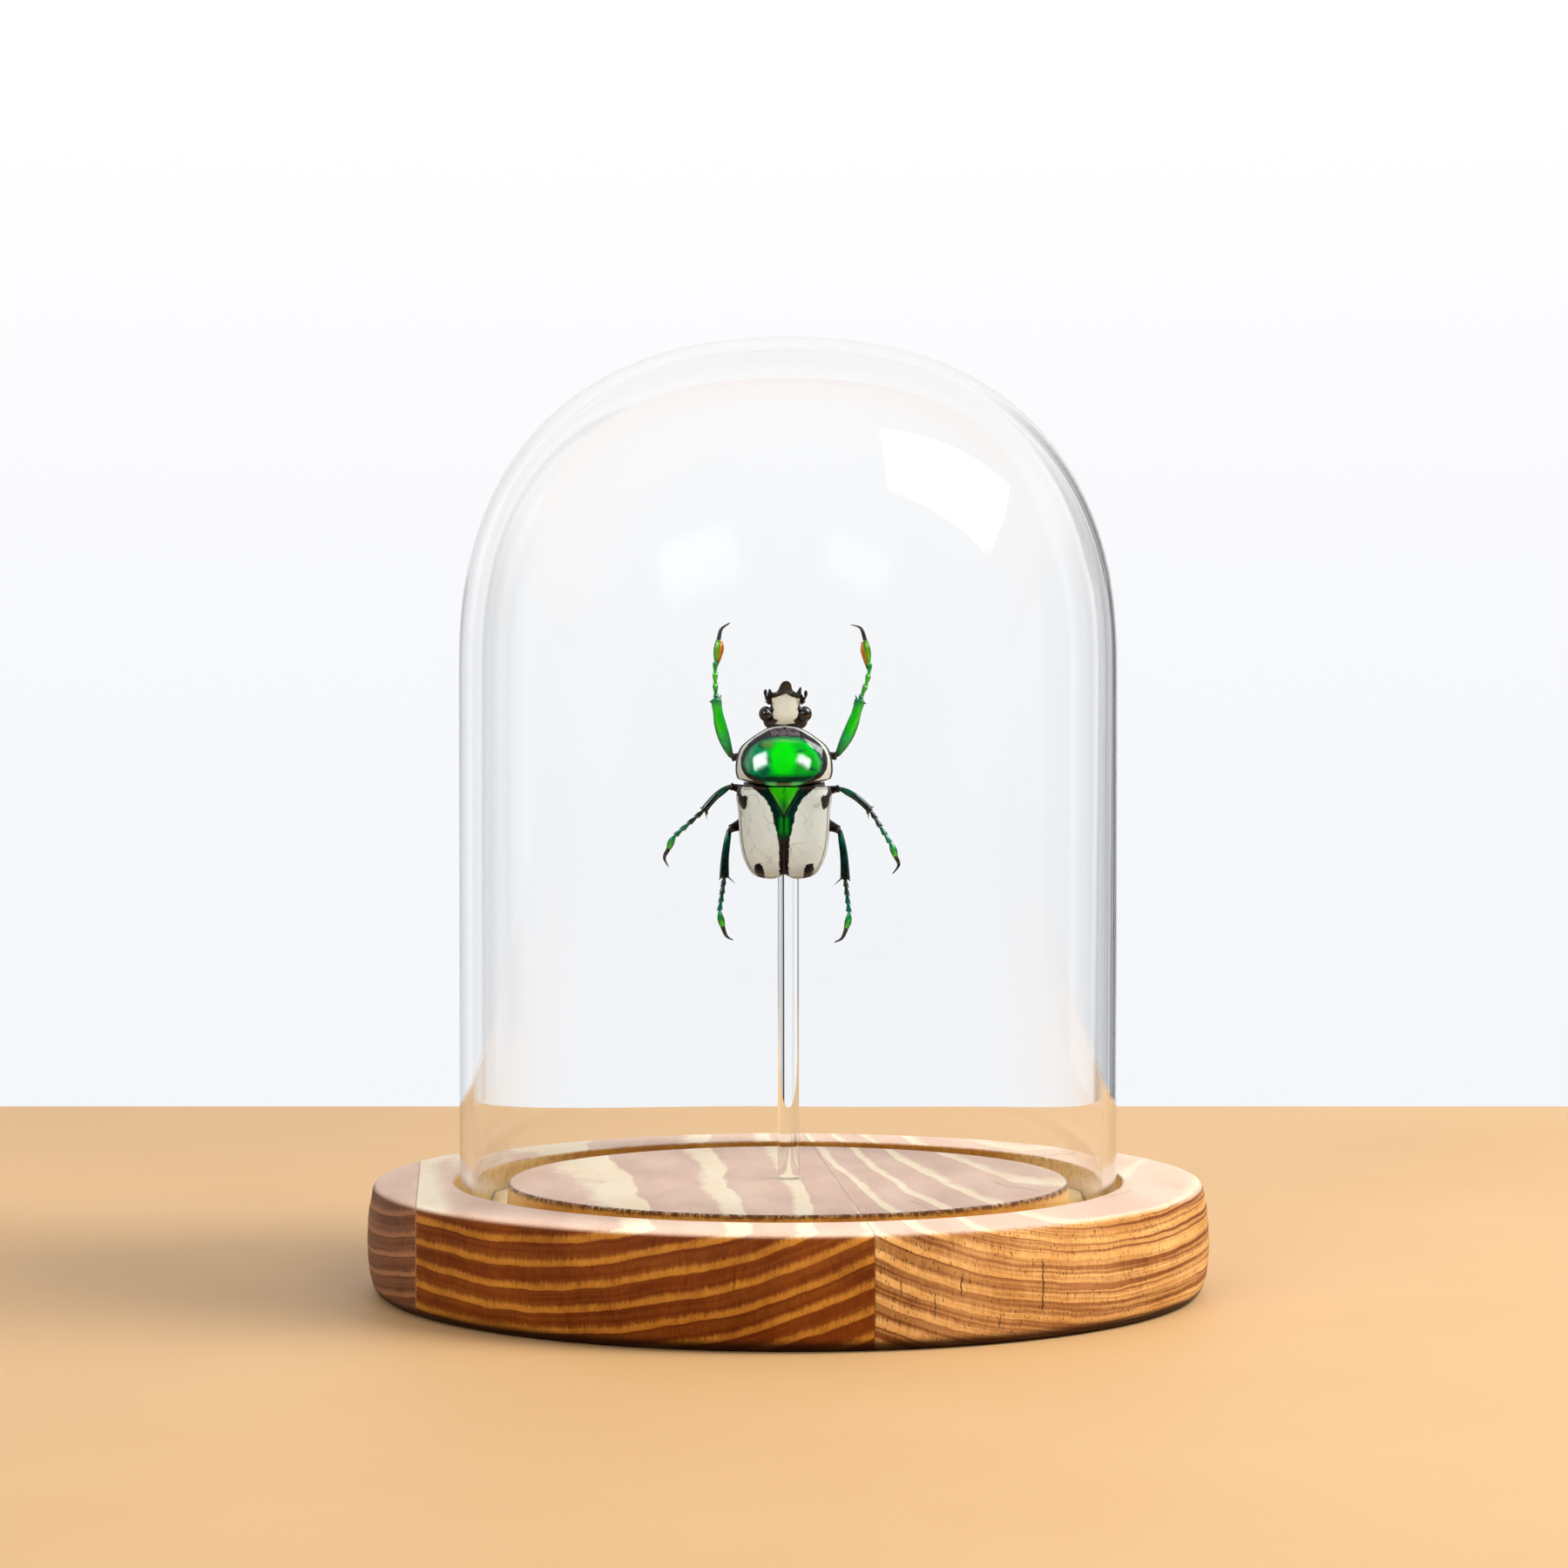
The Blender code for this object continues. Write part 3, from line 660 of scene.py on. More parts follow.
def within(points, outline):
    """How far plan points lie inside a closed outline, in millimetres, negative outside."""
    x, y = points[:, 0], points[:, 1]
    nearest = np.full(len(points), 1e9)
    inside = np.zeros(len(points), bool)
    for (ax, ay), (bx, by) in zip(outline, [*outline[1:], outline[0]]):
        dx, dy = bx - ax, by - ay
        share = np.clip(((x - ax) * dx + (y - ay) * dy) / (dx * dx + dy * dy), 0, 1)
        nearest = np.minimum(nearest, np.hypot(x - ax - share * dx, y - ay - share * dy))
        if dy:
            crosses = ((ay > y) != (by > y)) & (x < dx * (y - ay) / dy + ax)
            inside ^= crosses
    return np.where(inside, nearest, -nearest)


def mirrored(outline):
    """A closed outline from its right half, which starts and ends on the midline."""
    return [*outline, *[(-x, y) for x, y in outline[-2:0:-1]]]


# Stations of the trunk: side y, half width, midline y, rise of the back, depth of the belly.
PRONOTUM = [
    (8.4, 1.6, 8.6, 0.55, 0.6), (8.2, 2.45, 8.45, 0.95, 0.9), (7.05, 4.3, 7.65, 1.95, 1.6),
    (5.65, 5.95, 6.2, 3.0, 2.3), (4.0, 6.6, 4.3, 3.75, 2.7), (2.4, 6.74, 2.3, 4.15, 2.7),
    (1.5, 6.6, 1.0, 4.2, 2.5), (1.12, 6.42, 0.25, 4.1, 2.2), (1.05, 6.2, 0.1, 3.7, 1.9),
]
THORAX = [(0.7, 5.75, -0.25, 3.2, 2.4), (-0.4, 5.85, -0.9, 3.3, 3.1), (-2.6, 5.8, -2.6, 3.3, 3.6),
          (-5.22, 5.58, -5.22, 3.3, 3.6)]
ABDOMEN = [(-5.32, 5.47, -5.32, 3.0, 3.55), (-7.6, 5.2, -7.6, 2.7, 3.4), (-9.8, 4.5, -9.8, 2.0, 2.9),
           (-11.4, 3.5, -11.4, 1.0, 2.2), (-12.4, 2.2, -12.4, 0.1, 1.2)]
STERNITES = (-6.5, -7.8, -9.1, -10.3, -11.3)

# Plan outlines of the markings, right half or whole, in millimetres, and the dark middle of the wing cases as
# (y, half width).
GREEN_DISC = [
    (0.0, 7.25), (2.2, 7.05), (3.5, 6.2), (4.9, 4.8), (5.5, 3.5), (5.1, 2.2), (3.9, 1.25), (2.7, 0.6),
    (2.2, -0.1), (0.0, -0.3), (-2.2, -0.1), (-2.7, 0.6), (-3.7, 1.3), (-5.2, 2.0), (-5.85, 3.2), (-5.5, 4.6),
    (-4.7, 5.7), (-3.3, 6.7), (-1.5, 7.1),
]
WHITE_INNER = mirrored([
    (0.0, 8.45), (1.4, 8.3), (2.2, 7.98), (3.2, 7.45), (4.25, 6.82), (5.0, 6.15), (5.75, 5.15), (6.08, 4.2),
    (6.12, 3.4), (6.0, 2.6), (5.65, 1.9), (5.0, 1.3), (4.1, 0.85), (3.2, 0.55), (2.4, 0.1), (0.0, -0.4),
])
DARK_HALF_WIDTH = [
    (-13.5, 0.66), (-8.7, 0.7), (-7.7, 0.8), (-6.7, 0.93), (-5.7, 1.2), (-4.7, 1.45), (-3.7, 1.65),
    (-2.7, 2.0), (-2.0, 2.4), (-1.3, 2.9), (-0.6, 3.7), (-0.06, 4.45),
]
SHOULDER_SPOT = [
    (6.75, 0.3), (6.8, -0.6), (6.62, -1.3), (6.4, -2.1), (6.1, -2.8), (5.75, -3.15), (5.45, -3.05),
    (5.2, -2.2), (5.1, -1.35), (5.5, -1.1), (5.95, -1.15), (6.1, -0.7), (6.0, -0.1), (6.1, 0.3),
]
TAIL_SPOT = [
    (4.05, -10.75), (3.6, -10.6), (3.15, -10.85), (2.85, -11.4), (2.6, -13.6), (3.25, -13.5), (3.98, -12.3),
    (4.25, -11.5),
]
FACE_SHIELD = [
    (0.3, 13.2), (1.05, 12.75), (2.26, 12.45), (2.2, 11.6), (1.9, 11.1), (2.07, 10.56), (1.9, 9.84),
    (1.35, 9.4), (1.5, 9.1), (1.6, 8.95), (0.6, 8.85), (0.2, 8.75), (-0.6, 8.8), (-1.3, 8.9), (-0.8, 9.4),
    (-1.45, 9.64), (-1.6, 10.36), (-1.41, 10.97), (-1.66, 11.57), (-1.71, 12.5), (-0.69, 12.8),
]


def trunk_ring(station, count, bead):
    """A section of the trunk with a raised bead and a fine groove along each side of the back."""
    angles = TURN * (np.arange(count) + 0.5) / count
    ring = section(station, angles)
    from_side = np.minimum(np.abs(angles), np.minimum(np.abs(angles - math.pi), np.abs(angles - TURN)))
    over = np.where(np.sin(angles) > -0.15, 1.0, 0.3)
    push = bead * over * (hump(from_side, 0.02, 0.07) - 1.1 * hump(from_side, 0.17, 0.06))
    scale = 1 + push / max(station[1], 1)
    return ring * np.stack([scale, np.ones(count), scale], 1)


def pronotum(count=144):
    stations = through(PRONOTUM, 12)
    points, faces = skin([trunk_ring(station, count, 0.16) for station in stations])
    half = np.concatenate([np.repeat(stations[:, 1], count), stations[[0, -1], 1]])
    attributes = {"disc": within(points, GREEN_DISC), "inner": within(points, WHITE_INNER),
                  "rim": half - np.abs(points[:, 0])}
    return points, faces, attributes


def grooved(stations, grooves, count=96):
    """A stretch of the trunk's underside, cut by fine cross grooves."""
    rings = []
    for station in through(stations, 14):
        ring = section(station, TURN * (np.arange(count) + 0.5) / count)
        cut = 1 - sum(0.045 * hump(ring[:, 1], groove, 0.09) for groove in grooves)
        keel = 1 + 0.02 * hump(ring[:, 0], 0, 0.5)
        ring[:, 2] *= np.where(ring[:, 2] < 0, cut * keel, 1)
        ring[:, 0] *= 0.4 + 0.6 * cut
        rings.append(ring)
    return skin(rings)


# A wing case: plan of its outer edge, height of its ridge (y, z), its front and tail, its thickness, the size
# of the scutellum that the two leave room for, the gap to the midline, and low bumps (x, y, width, height).
WING_EDGE = [(6.6, 0.12), (6.88, -1.3), (6.62, -3.3), (6.55, -5.7), (6.3, -8.2), (5.75, -10.4), (4.6, -12.3),
             (3.0, -13.0), (1.4, -13.1), (0.5, -12.6)]
WING_RIDGE = [(-12.4, 2.0), (-10.0, 3.8), (-7.0, 4.6), (-4.0, 4.7), (-0.3, 4.25)]
WING_TOP = 0.14
WING_TAIL = -12.4
WING_WALL = 0.4
SCUTELLUM_HALF = 2.15
SCUTELLUM_LENGTH = 3.9
SCUTELLUM_TOP = 4.36
SCUTELLUM_UNDER = 3.85
SUTURE = 0.09
WING_BUMPS = [(5.2, -2.1, 0.9, 0.22), (3.6, -11.3, 0.9, 0.3), (1.9, -8.6, 2.2, 0.08), (4.3, -6.3, 1.6, -0.06)]


def elytron(side, rows=81, columns=57):
    """A wing case as a closed sheet, and its marking attributes."""
    edge = through(WING_EDGE, 16)
    places, edge_way, suture_way = [], [], []
    for row in range(rows):
        share = row / (rows - 1)
        outer = edge[round(share * (len(edge) - 1))]
        y = WING_TOP + (WING_TAIL - WING_TOP) * share
        taper = max(0.0, 1 + y / (SCUTELLUM_LENGTH + 0.25))
        inner = np.array([SUTURE + (SCUTELLUM_HALF + 0.22) * taper, y])
        height = np.interp(y, *zip(*WING_RIDGE))
        s = np.sin(0.5 * math.pi * np.arange(columns) / (columns - 1))
        plan = inner + np.outer(s, outer - inner)
        line = np.column_stack([plan, height * np.sqrt(np.maximum(1 - s ** 2.6, 0))])
        steps = np.linalg.norm(np.diff(line, axis=0), axis=1)
        run = np.concatenate([[0], np.cumsum(steps)])
        places.append(line)
        suture_way.append(run)
        edge_way.append(run[-1] - run)
    places, edge_way, suture_way = map(np.array, (places, edge_way, suture_way))
    front_way = np.cumsum(np.linalg.norm(np.diff(places, axis=0, prepend=places[:1]), axis=2), axis=0)
    down, across = np.gradient(places, axis=0), np.gradient(places, axis=1)
    normal = np.cross(down, across)
    normal /= np.maximum(np.linalg.norm(normal, axis=2), 1e-9)[..., None]
    normal *= np.sign(normal[rows // 2, 3, 2])
    lift = 0.05 * hump(edge_way, 1.25, 0.30) - 0.08 * hump(edge_way, 1.8, 0.16)
    lift += 0.05 * hump(front_way, 0.16, 0.10) - 0.05 * hump(front_way, 0.36, 0.07)
    lift += 0.04 * hump(suture_way, 0.0, 0.12) - 0.05 * hump(suture_way, 0.34, 0.1)
    for x, y, width, height in WING_BUMPS:
        lift += height * np.exp(-((places[..., 0] - x) ** 2 + (places[..., 1] - y) ** 2) / width ** 2)
    top = places + normal * (lift - 0.1)[..., None]
    low = top - normal * WING_WALL * np.minimum(1, 0.45 + suture_way * 2)[..., None]
    count = rows * columns
    points = np.vstack([top.reshape(-1, 3), low.reshape(-1, 3)])
    faces = []
    for row in range(rows - 1):
        for k in range(columns - 1):
            a, b = row * columns + k, (row + 1) * columns + k
            faces.append((a, b, b + 1, a + 1))
            faces.append((a + 1 + count, b + 1 + count, b + count, a + count))
    border = list(range(columns)) + [row * columns + columns - 1 for row in range(1, rows)]
    border += [(rows - 1) * columns + k for k in range(columns - 2, -1, -1)]
    border += [row * columns for row in range(rows - 2, 0, -1)]
    faces += [(a, b, b + count, a + count) for a, b in zip(border, border[1:] + border[:1])]
    attributes = {
        "dark": np.interp(points[:, 1], *zip(*DARK_HALF_WIDTH)) - points[:, 0],
        "spot": np.maximum(within(points, SHOULDER_SPOT), within(points, TAIL_SPOT)),
        "rim": np.concatenate([edge_way.ravel(), edge_way.ravel() * 0]),
        "front": np.concatenate([front_way.ravel(), front_way.ravel() * 0]),
    }
    points[:, 0] *= side
    return points, faces, attributes


def scutellum(rows=41, columns=33):
    """The triangular plate, gently domed, with a fine rim and a shallow middle groove."""
    rings = []
    for row in range(rows):
        share = row / (rows - 1)
        y = -SCUTELLUM_LENGTH * share
        half = SCUTELLUM_HALF * (1 - share) ** 0.92 + 0.03
        t = np.linspace(-1, 1, columns)
        relief = 0.05 * hump(np.abs(t), 1, 0.1) - 0.05 * hump(t, 0, 0.1)
        top = SCUTELLUM_TOP - 0.12 * share ** 2 - 0.16 * np.abs(t) ** 3 + relief
        line = np.column_stack([t * half, np.full(columns, y), top])
        low = np.full(columns, SCUTELLUM_UNDER)
        under = np.column_stack([t[::-1] * half * 0.96, np.full(columns, y), low])
        rings.append(np.vstack([line, under]))
    return skin(rings)


# The head sits a little to the right. Stations: y, half width, rise, depth. Then the plans of the horn and of
# the two forked rims of the mouth shield, the teeth between them (x, y, radius), and the place of an eye.
HEAD_X = 0.2
HEAD = [(8.3, 1.7, 0.5, 0.9), (9.0, 2.3, 0.95, 1.2), (10.0, 2.3, 1.15, 1.4), (11.0, 2.15, 1.15, 1.35),
        (12.0, 2.15, 1.05, 1.1), (12.8, 2.35, 0.95, 0.8), (13.25, 2.0, 0.8, 0.5)]
HORN = [
    (-1.1, 12.9), (-0.95, 13.35), (-0.72, 13.9), (-0.42, 14.55), (-0.1, 14.88), (0.35, 14.98), (0.75, 14.86),
    (1.03, 14.5), (1.14, 13.9), (1.35, 13.4), (1.5, 12.9),
]
LEFT_FORK = [(-1.5, 12.7), (-1.3, 13.1), (-1.6, 13.3), (-1.95, 13.85), (-2.15, 13.8), (-2.3, 13.2),
             (-2.55, 12.6), (-2.3, 12.0), (-1.9, 11.6), (-1.6, 12.0)]
RIGHT_FORK = [(2.05, 12.6), (1.5, 13.1), (1.9, 13.5), (2.3, 14.15), (2.48, 14.0), (2.45, 13.2), (2.75, 12.8),
              (2.9, 12.3), (2.6, 11.7), (2.2, 12.0)]
TEETH = [(-0.75, 13.4, 0.28), (-1.3, 13.1, 0.3), (0.85, 13.35, 0.3), (1.35, 13.2, 0.34), (1.9, 13.0, 0.3)]
BROW = [(-1.0, 13.0, 1.0, 0.14, 0.2), (0.3, 13.45, 1.1, 0.16, 0.2), (1.6, 12.9, 1.0, 0.14, 0.2)]
EYE = (2.68, 10.3, 0.2)


def head_parts():
    """The head capsule with its temples, the mouth below, the blunt horn and the toothed rims of the face."""
    capsule = [section((y, half, y, rise, depth), TURN * (np.arange(40) + 0.5) / 40, HEAD_X)
               for y, half, rise, depth in through(HEAD, 6)]
    parts = [skin(capsule), plate(HORN, 0.35, 0.85, 0.32, 13.0), plate(LEFT_FORK, 0.2, 1.0, 0.15, 12.5),
             plate(RIGHT_FORK, 0.2, 1.0, 0.15, 12.5)]
    for side in (-1, 1):
        parts.append(ball((HEAD_X + side * 2.1, 9.35, -0.1), (1.05, 1.15, 0.95)))
        parts.append(ball((HEAD_X + side * 1.95, 11.0, 0.35), (0.62, 0.34, 0.62)))
        parts.append(spine((HEAD_X + side * 2.2, 11.7, 0.5), (HEAD_X + side * 2.95, 12.1, 0.6), 0.2))
        parts.append(limb([(HEAD_X + side * x, y, z, r, r) for x, y, z, r in
                           ((0.5, 12.6, -0.5, 0.18), (0.75, 13.3, -0.5, 0.24), (0.8, 13.8, -0.35, 0.15))]))
    for x, y, size in TEETH:
        parts.append(ball((x, y, 0.9), (size, size, size), 12))
    parts.append(ball((HEAD_X, 11.3, -1.0), (1.3, 1.9, 0.6)))
    parts.append(limb(BROW))
    return parts


def eye(side, steps=40):
    """A kidney-shaped compound eye, notched in front by the bar of the cheek."""
    centre = np.array((HEAD_X + side * EYE[0], *EYE[1:]))
    points, faces = ball((0, 0, 0), (1, 1, 1), steps)
    notch = hump(np.hypot(points[:, 0] + 0.75 * side, points[:, 1] - 0.75), 0, 0.5)
    points = points * (1 - 0.18 * notch)[:, None] * (1.08, 1.12, 1.1)
    return centre + points, faces


ANTENNAE = {"left": [(-2.0, 11.9, 0.0), (-2.45, 12.3, 0.25), (-2.62, 12.8, 0.45)],
            "right": [(2.45, 11.9, 0.0), (2.85, 12.3, 0.25), (3.0, 12.7, 0.45)]}
CLUBS = {"left": (-2.62, 13.3), "right": (3.08, 13.15)}


def antenna(name):
    """A short jointed stalk that ends in a club of three leaves."""
    stalk = through([(*place, 0.15, 0.15) for place in ANTENNAE[name]], 8)
    stalk[:, 3:] *= (1 + 0.25 * np.cos(np.arange(len(stalk)) * 1.9))[:, None]
    x, y = CLUBS[name]
    leaves = [ball((x + 0.02 * k, y, 0.45 + 0.17 * k), (0.24, 0.5, 0.1), 14) for k in (-1, 0, 1)]
    socket = ball((x, y - 0.3, 0.45), (0.16, 0.3, 0.2), 12)
    return fused([limb(stalk, 14), socket, *leaves], voxel=0.035, rounds=1)


# Legs: hip, knee, ankle, three more points of the foot, then the bend and the tip of the claws.
LEGS = {
    "front_right": [(3.0, 4.2, -3.8), (7.5, 4.3, -2.8), (10.75, 12.2, -1.8), (11.75, 14.9, -2.0),
                    (12.1, 17.3, -2.2), (11.5, 20.7, -2.4), (10.9, 22.4, -2.6), (9.5, 22.95, -3.0)],
    "front_left": [(-3.0, 4.2, -3.8), (-7.5, 4.1, -2.8), (-9.65, 12.3, -1.8), (-9.78, 15.2, -2.0),
                   (-9.7, 17.9, -2.2), (-9.3, 20.8, -2.4), (-8.9, 22.3, -2.6), (-7.7, 23.2, -3.0)],
    "middle_right": [(3.4, -1.2, -3.9), (7.9, -0.3, -2.4), (12.2, -3.3, -2.0), (13.97, -6.2, -2.2),
                     (15.3, -8.4, -2.4), (15.9, -10.0, -2.6), (16.35, -11.2, -2.8), (15.5, -12.5, -3.2)],
    "middle_left": [(-3.4, -1.2, -3.9), (-7.7, 0.0, -2.4), (-11.4, -3.4, -2.0), (-14.0, -5.7, -2.2),
                    (-15.7, -7.3, -2.4), (-16.45, -8.9, -2.6), (-17.05, -10.2, -2.8), (-16.5, -11.5, -3.2)],
    "hind_right": [(3.6, -4.4, -3.9), (7.9, -6.2, -2.6), (8.7, -13.1, -2.2), (9.05, -16.2, -2.4),
                   (9.25, -18.4, -2.6), (8.9, -20.2, -2.8), (8.3, -21.6, -3.0), (7.2, -22.25, -3.4)],
    "hind_left": [(-3.6, -4.4, -3.9), (-7.8, -6.1, -2.6), (-8.55, -12.9, -2.2), (-9.0, -16.2, -2.4),
                  (-9.2, -18.0, -2.6), (-8.8, -20.0, -2.8), (-8.3, -21.3, -3.0), (-7.35, -21.95, -3.4)],
}
# Half widths of each tibia from knee to ankle, how far it bows outwards, and its thorns: (share of the
# length, side: 1 outer and -1 inner, length, how far it slants towards the foot).
TIBIAE = {
    "front": {"widths": [0.38, 0.72, 0.88, 0.84, 0.70, 0.76], "bow": 0.35,
              "thorns": [(0.60, 1, 0.42, 0.2), (0.97, 1, 0.6, 0.15), (0.72, -1, 0.3, 0.3),
                         (0.9, -1, 0.4, 0.1), (0.99, -1, 0.45, 0.5), (0.2, -1, 0.25, -0.2)]},
    "middle": {"widths": [0.3, 0.48, 0.5, 0.5, 0.5, 0.52], "bow": 0.3,
               "thorns": [(0.98, 1, 0.35, 0.4), (0.99, -1, 0.95, 0.55), (0.96, -1, 0.6, 0.3),
                          (0.55, 1, 0.15, 0.2)]},
    "hind": {"widths": [0.34, 0.48, 0.54, 0.58, 0.64, 0.70], "bow": 0.2,
             "thorns": [(0.99, 1, 0.3, 0.5), (0.98, -1, 1.35, 0.95), (0.9, -1, 0.2, 0.3),
                        (0.6, 1, 0.16, 0.2)]},
}
# Half widths of each femur near the hip, in the middle and at the knee.
FEMORA = {"front": (0.75, 0.85, 0.55), "middle": (0.75, 0.8, 0.5), "hind": (0.8, 0.95, 0.62)}


def sideways(start, end, outward):
    """The direction across a segment in the plane of the back, on the side away from the body."""
    ahead = (np.asarray(end) - start)[:2]
    across = np.array([ahead[1], -ahead[0], 0]) / np.linalg.norm(ahead)
    return across if across[0] * outward >= 0 else -across


def femur(name):
    pair = name.split("_")[0]
    hip, knee = (np.array(p) for p in LEGS[name][:2])
    root, middle, end = FEMORA[pair]
    rows = through([(*hip, root * 0.8, root * 0.7), (*(hip * 0.6 + knee * 0.4), middle, middle * 0.75),
                    (*(hip * 0.12 + knee * 0.88), end, end * 0.8), (*knee, end * 0.62, end * 0.6)], 10)
    across = sideways(hip, knee, 1)
    ahead = (knee - hip) / np.linalg.norm(knee - hip)
    parts = [limb(rows, 24), ball(hip, (0.95, 0.8, 0.8), 16)]
    for way in (-1, 1):
        parts.append(ball(knee - ahead * 0.25 + across * way * end * 0.55, (0.26, 0.3, 0.34), 12))
    return fused(parts, voxel=0.06)


def tibia(name):
    pair, side = name.split("_")
    knee, ankle = (np.array(p) for p in LEGS[name][1:3])
    out = 1 if side == "right" else -1
    shape = TIBIAE[pair]
    across = sideways(knee, ankle, out)
    ahead = (ankle - knee) / np.linalg.norm(ankle - knee)
    shares = np.linspace(0.02, 1.0, len(shape["widths"]))
    rows = []
    for share, wide in zip(shares, shape["widths"]):
        bowed = across * shape["bow"] * math.sin(math.pi * share)
        rows.append((*(knee + (ankle - knee) * share + bowed), wide, wide * 0.62))
    path = through(rows, 8)
    parts = [limb(path, 24), ball(path[0, :3], (0.3, 0.3, 0.28), 12)]
    for share, way, length, slant in shape["thorns"]:
        place = path[round(share * (len(path) - 1))]
        start = place[:3] + across * way * place[3] * 0.6
        tip = start + across * way * length + ahead * slant + (0, 0, -0.05)
        parts.append(spine(start, tip, 0.17 if length < 0.7 else 0.13))
    ankle_end = path[-1]
    parts.append(ball(ankle_end[:3], (ankle_end[3] * 0.8, 0.22, ankle_end[4]), 12))
    points, faces = fused(parts, voxel=0.05, rounds=2)
    return points, faces, placed(points, path[:, :3], across)


def placed(points, path, across):
    """Attributes that say how far along a path, and how far to its outer side, each point lies."""
    gaps = np.linalg.norm(points[:, None, :2] - path[None, :, :2], axis=2)
    nearest = gaps.argmin(1)
    offset = ((points - path[nearest]) * across).sum(1)
    return {"along": nearest / (len(path) - 1), "offset": offset}


# Where each joint of the foot ends, as a share of its length.
SEGMENT_ENDS = {"front": (0.07, 0.25, 0.43, 0.62, 1.0), "middle": (0.17, 0.36, 0.54, 0.71, 1.0),
                "hind": (0.15, 0.32, 0.49, 0.66, 1.0)}
FOOT_STEPS = 40
# The pad of a front foot: points back from the end of its line, how far inwards, half width, half height.
FOOT_PAD = [(52, 0.28, 0.12, 0.2), (36, 0.5, 0.3, 0.28), (18, 0.62, 0.36, 0.3), (4, 0.45, 0.16, 0.2)]


def foot(name):
    pair, side = name.split("_")
    out = 1 if side == "right" else -1
    points = LEGS[name]
    line = through(points[2:6], FOOT_STEPS)
    way = np.concatenate([[0], np.cumsum(np.linalg.norm(np.diff(line, axis=0), axis=1))])
    way /= way[-1]
    ends = SEGMENT_ENDS[pair]
    widths = []
    for share in way:
        index = min(np.searchsorted(ends, share), len(ends) - 1)
        start = 0.0 if index == 0 else ends[index - 1]
        local = (share - start) / (ends[index] - start)
        last = index == len(ends) - 1
        if last:
            wide = 0.17 + 0.33 * math.sin(min(1, local * 1.15) * 2.3) ** 1.1 if local < 0.97 else 0.26
        else:
            wide = (0.21 + 0.25 * local ** 1.3) * (1 if local < 0.88 else 1 - 4.2 * (local - 0.88))
        widths.append(max(wide, 0.14))
    rows = np.column_stack([line, widths, np.array(widths) * 0.9])
    parts = [limb(rows, 16)]
    across = sideways(line[0], line[-1], out)
    for end in ends[:-1]:
        k = int(np.searchsorted(way, end * 0.97))
        place, ahead = line[k], line[min(k + 3, len(line) - 1)] - line[k]
        ahead = ahead / np.linalg.norm(ahead)
        for turn_way in (-1, 1):
            reach = 0.54 if turn_way * (1 if pair == "front" else -1) < 0 else 0.34
            start = place - ahead * 0.1 + across * turn_way * 0.16
            parts.append(spine(start, start + across * turn_way * reach * 0.6 + ahead * reach * 0.8, 0.11))
    claw_line = through(points[5:], 12)
    if pair == "front":
        pad = [(*(line[-back] - across * inwards), wide, high) for back, inwards, wide, high in FOOT_PAD]
        parts.append(limb(through(pad, 6), 14))
    for way_out, drop in ((0.12, 0.05), (-0.12, -0.1)):
        share = np.linspace(0, 1, len(claw_line))
        size = 0.17 * (1 - share) ** 0.7 + 0.04
        shift = across * way_out * (1 - 0.4 * share[:, None]) + np.array([0, 0, drop])
        parts.append(limb(np.column_stack([claw_line + shift, size, size * 1.1]), 12))
    parts.append(ball(line[-1], (0.24, 0.24, 0.2), 12))
    found, faces = fused(parts, voxel=0.042, rounds=1)
    whole = np.vstack([line[::2], claw_line[1:]])
    attributes = placed(found, whole, across)
    attributes["claw"] = np.where(attributes["along"] * (len(whole) - 1) >= len(line[::2]) - 1.5, 1.0, 0.0)
    attributes["along"] = np.minimum(attributes["along"] * (len(whole) - 1) / (len(line[::2]) - 1), 1.0)
    return found, faces, attributes


# ---------------------------------------------------------------- beetle surfaces

BLACK = (0.0060, 0.0052, 0.0056)


def punctures(s, scale, depth):
    """Fine pits in the cuticle over a soft unevenness."""
    pits = s.step(s.cells(scale, "F1"), 0.08, 0.3)
    waves = s.noise(0.9, 3)
    return s.bump(pits * 0.5 + waves * 0.9, depth)


def ragged(s, amount=0.16):
    """A small wandering offset that roughens the edge of a marking."""
    broad, fine = s.noise(1.6, 2), s.noise(5.5, 2)
    return (broad * 0.6 + fine * 0.6 - 0.6) * (amount * 2.6)


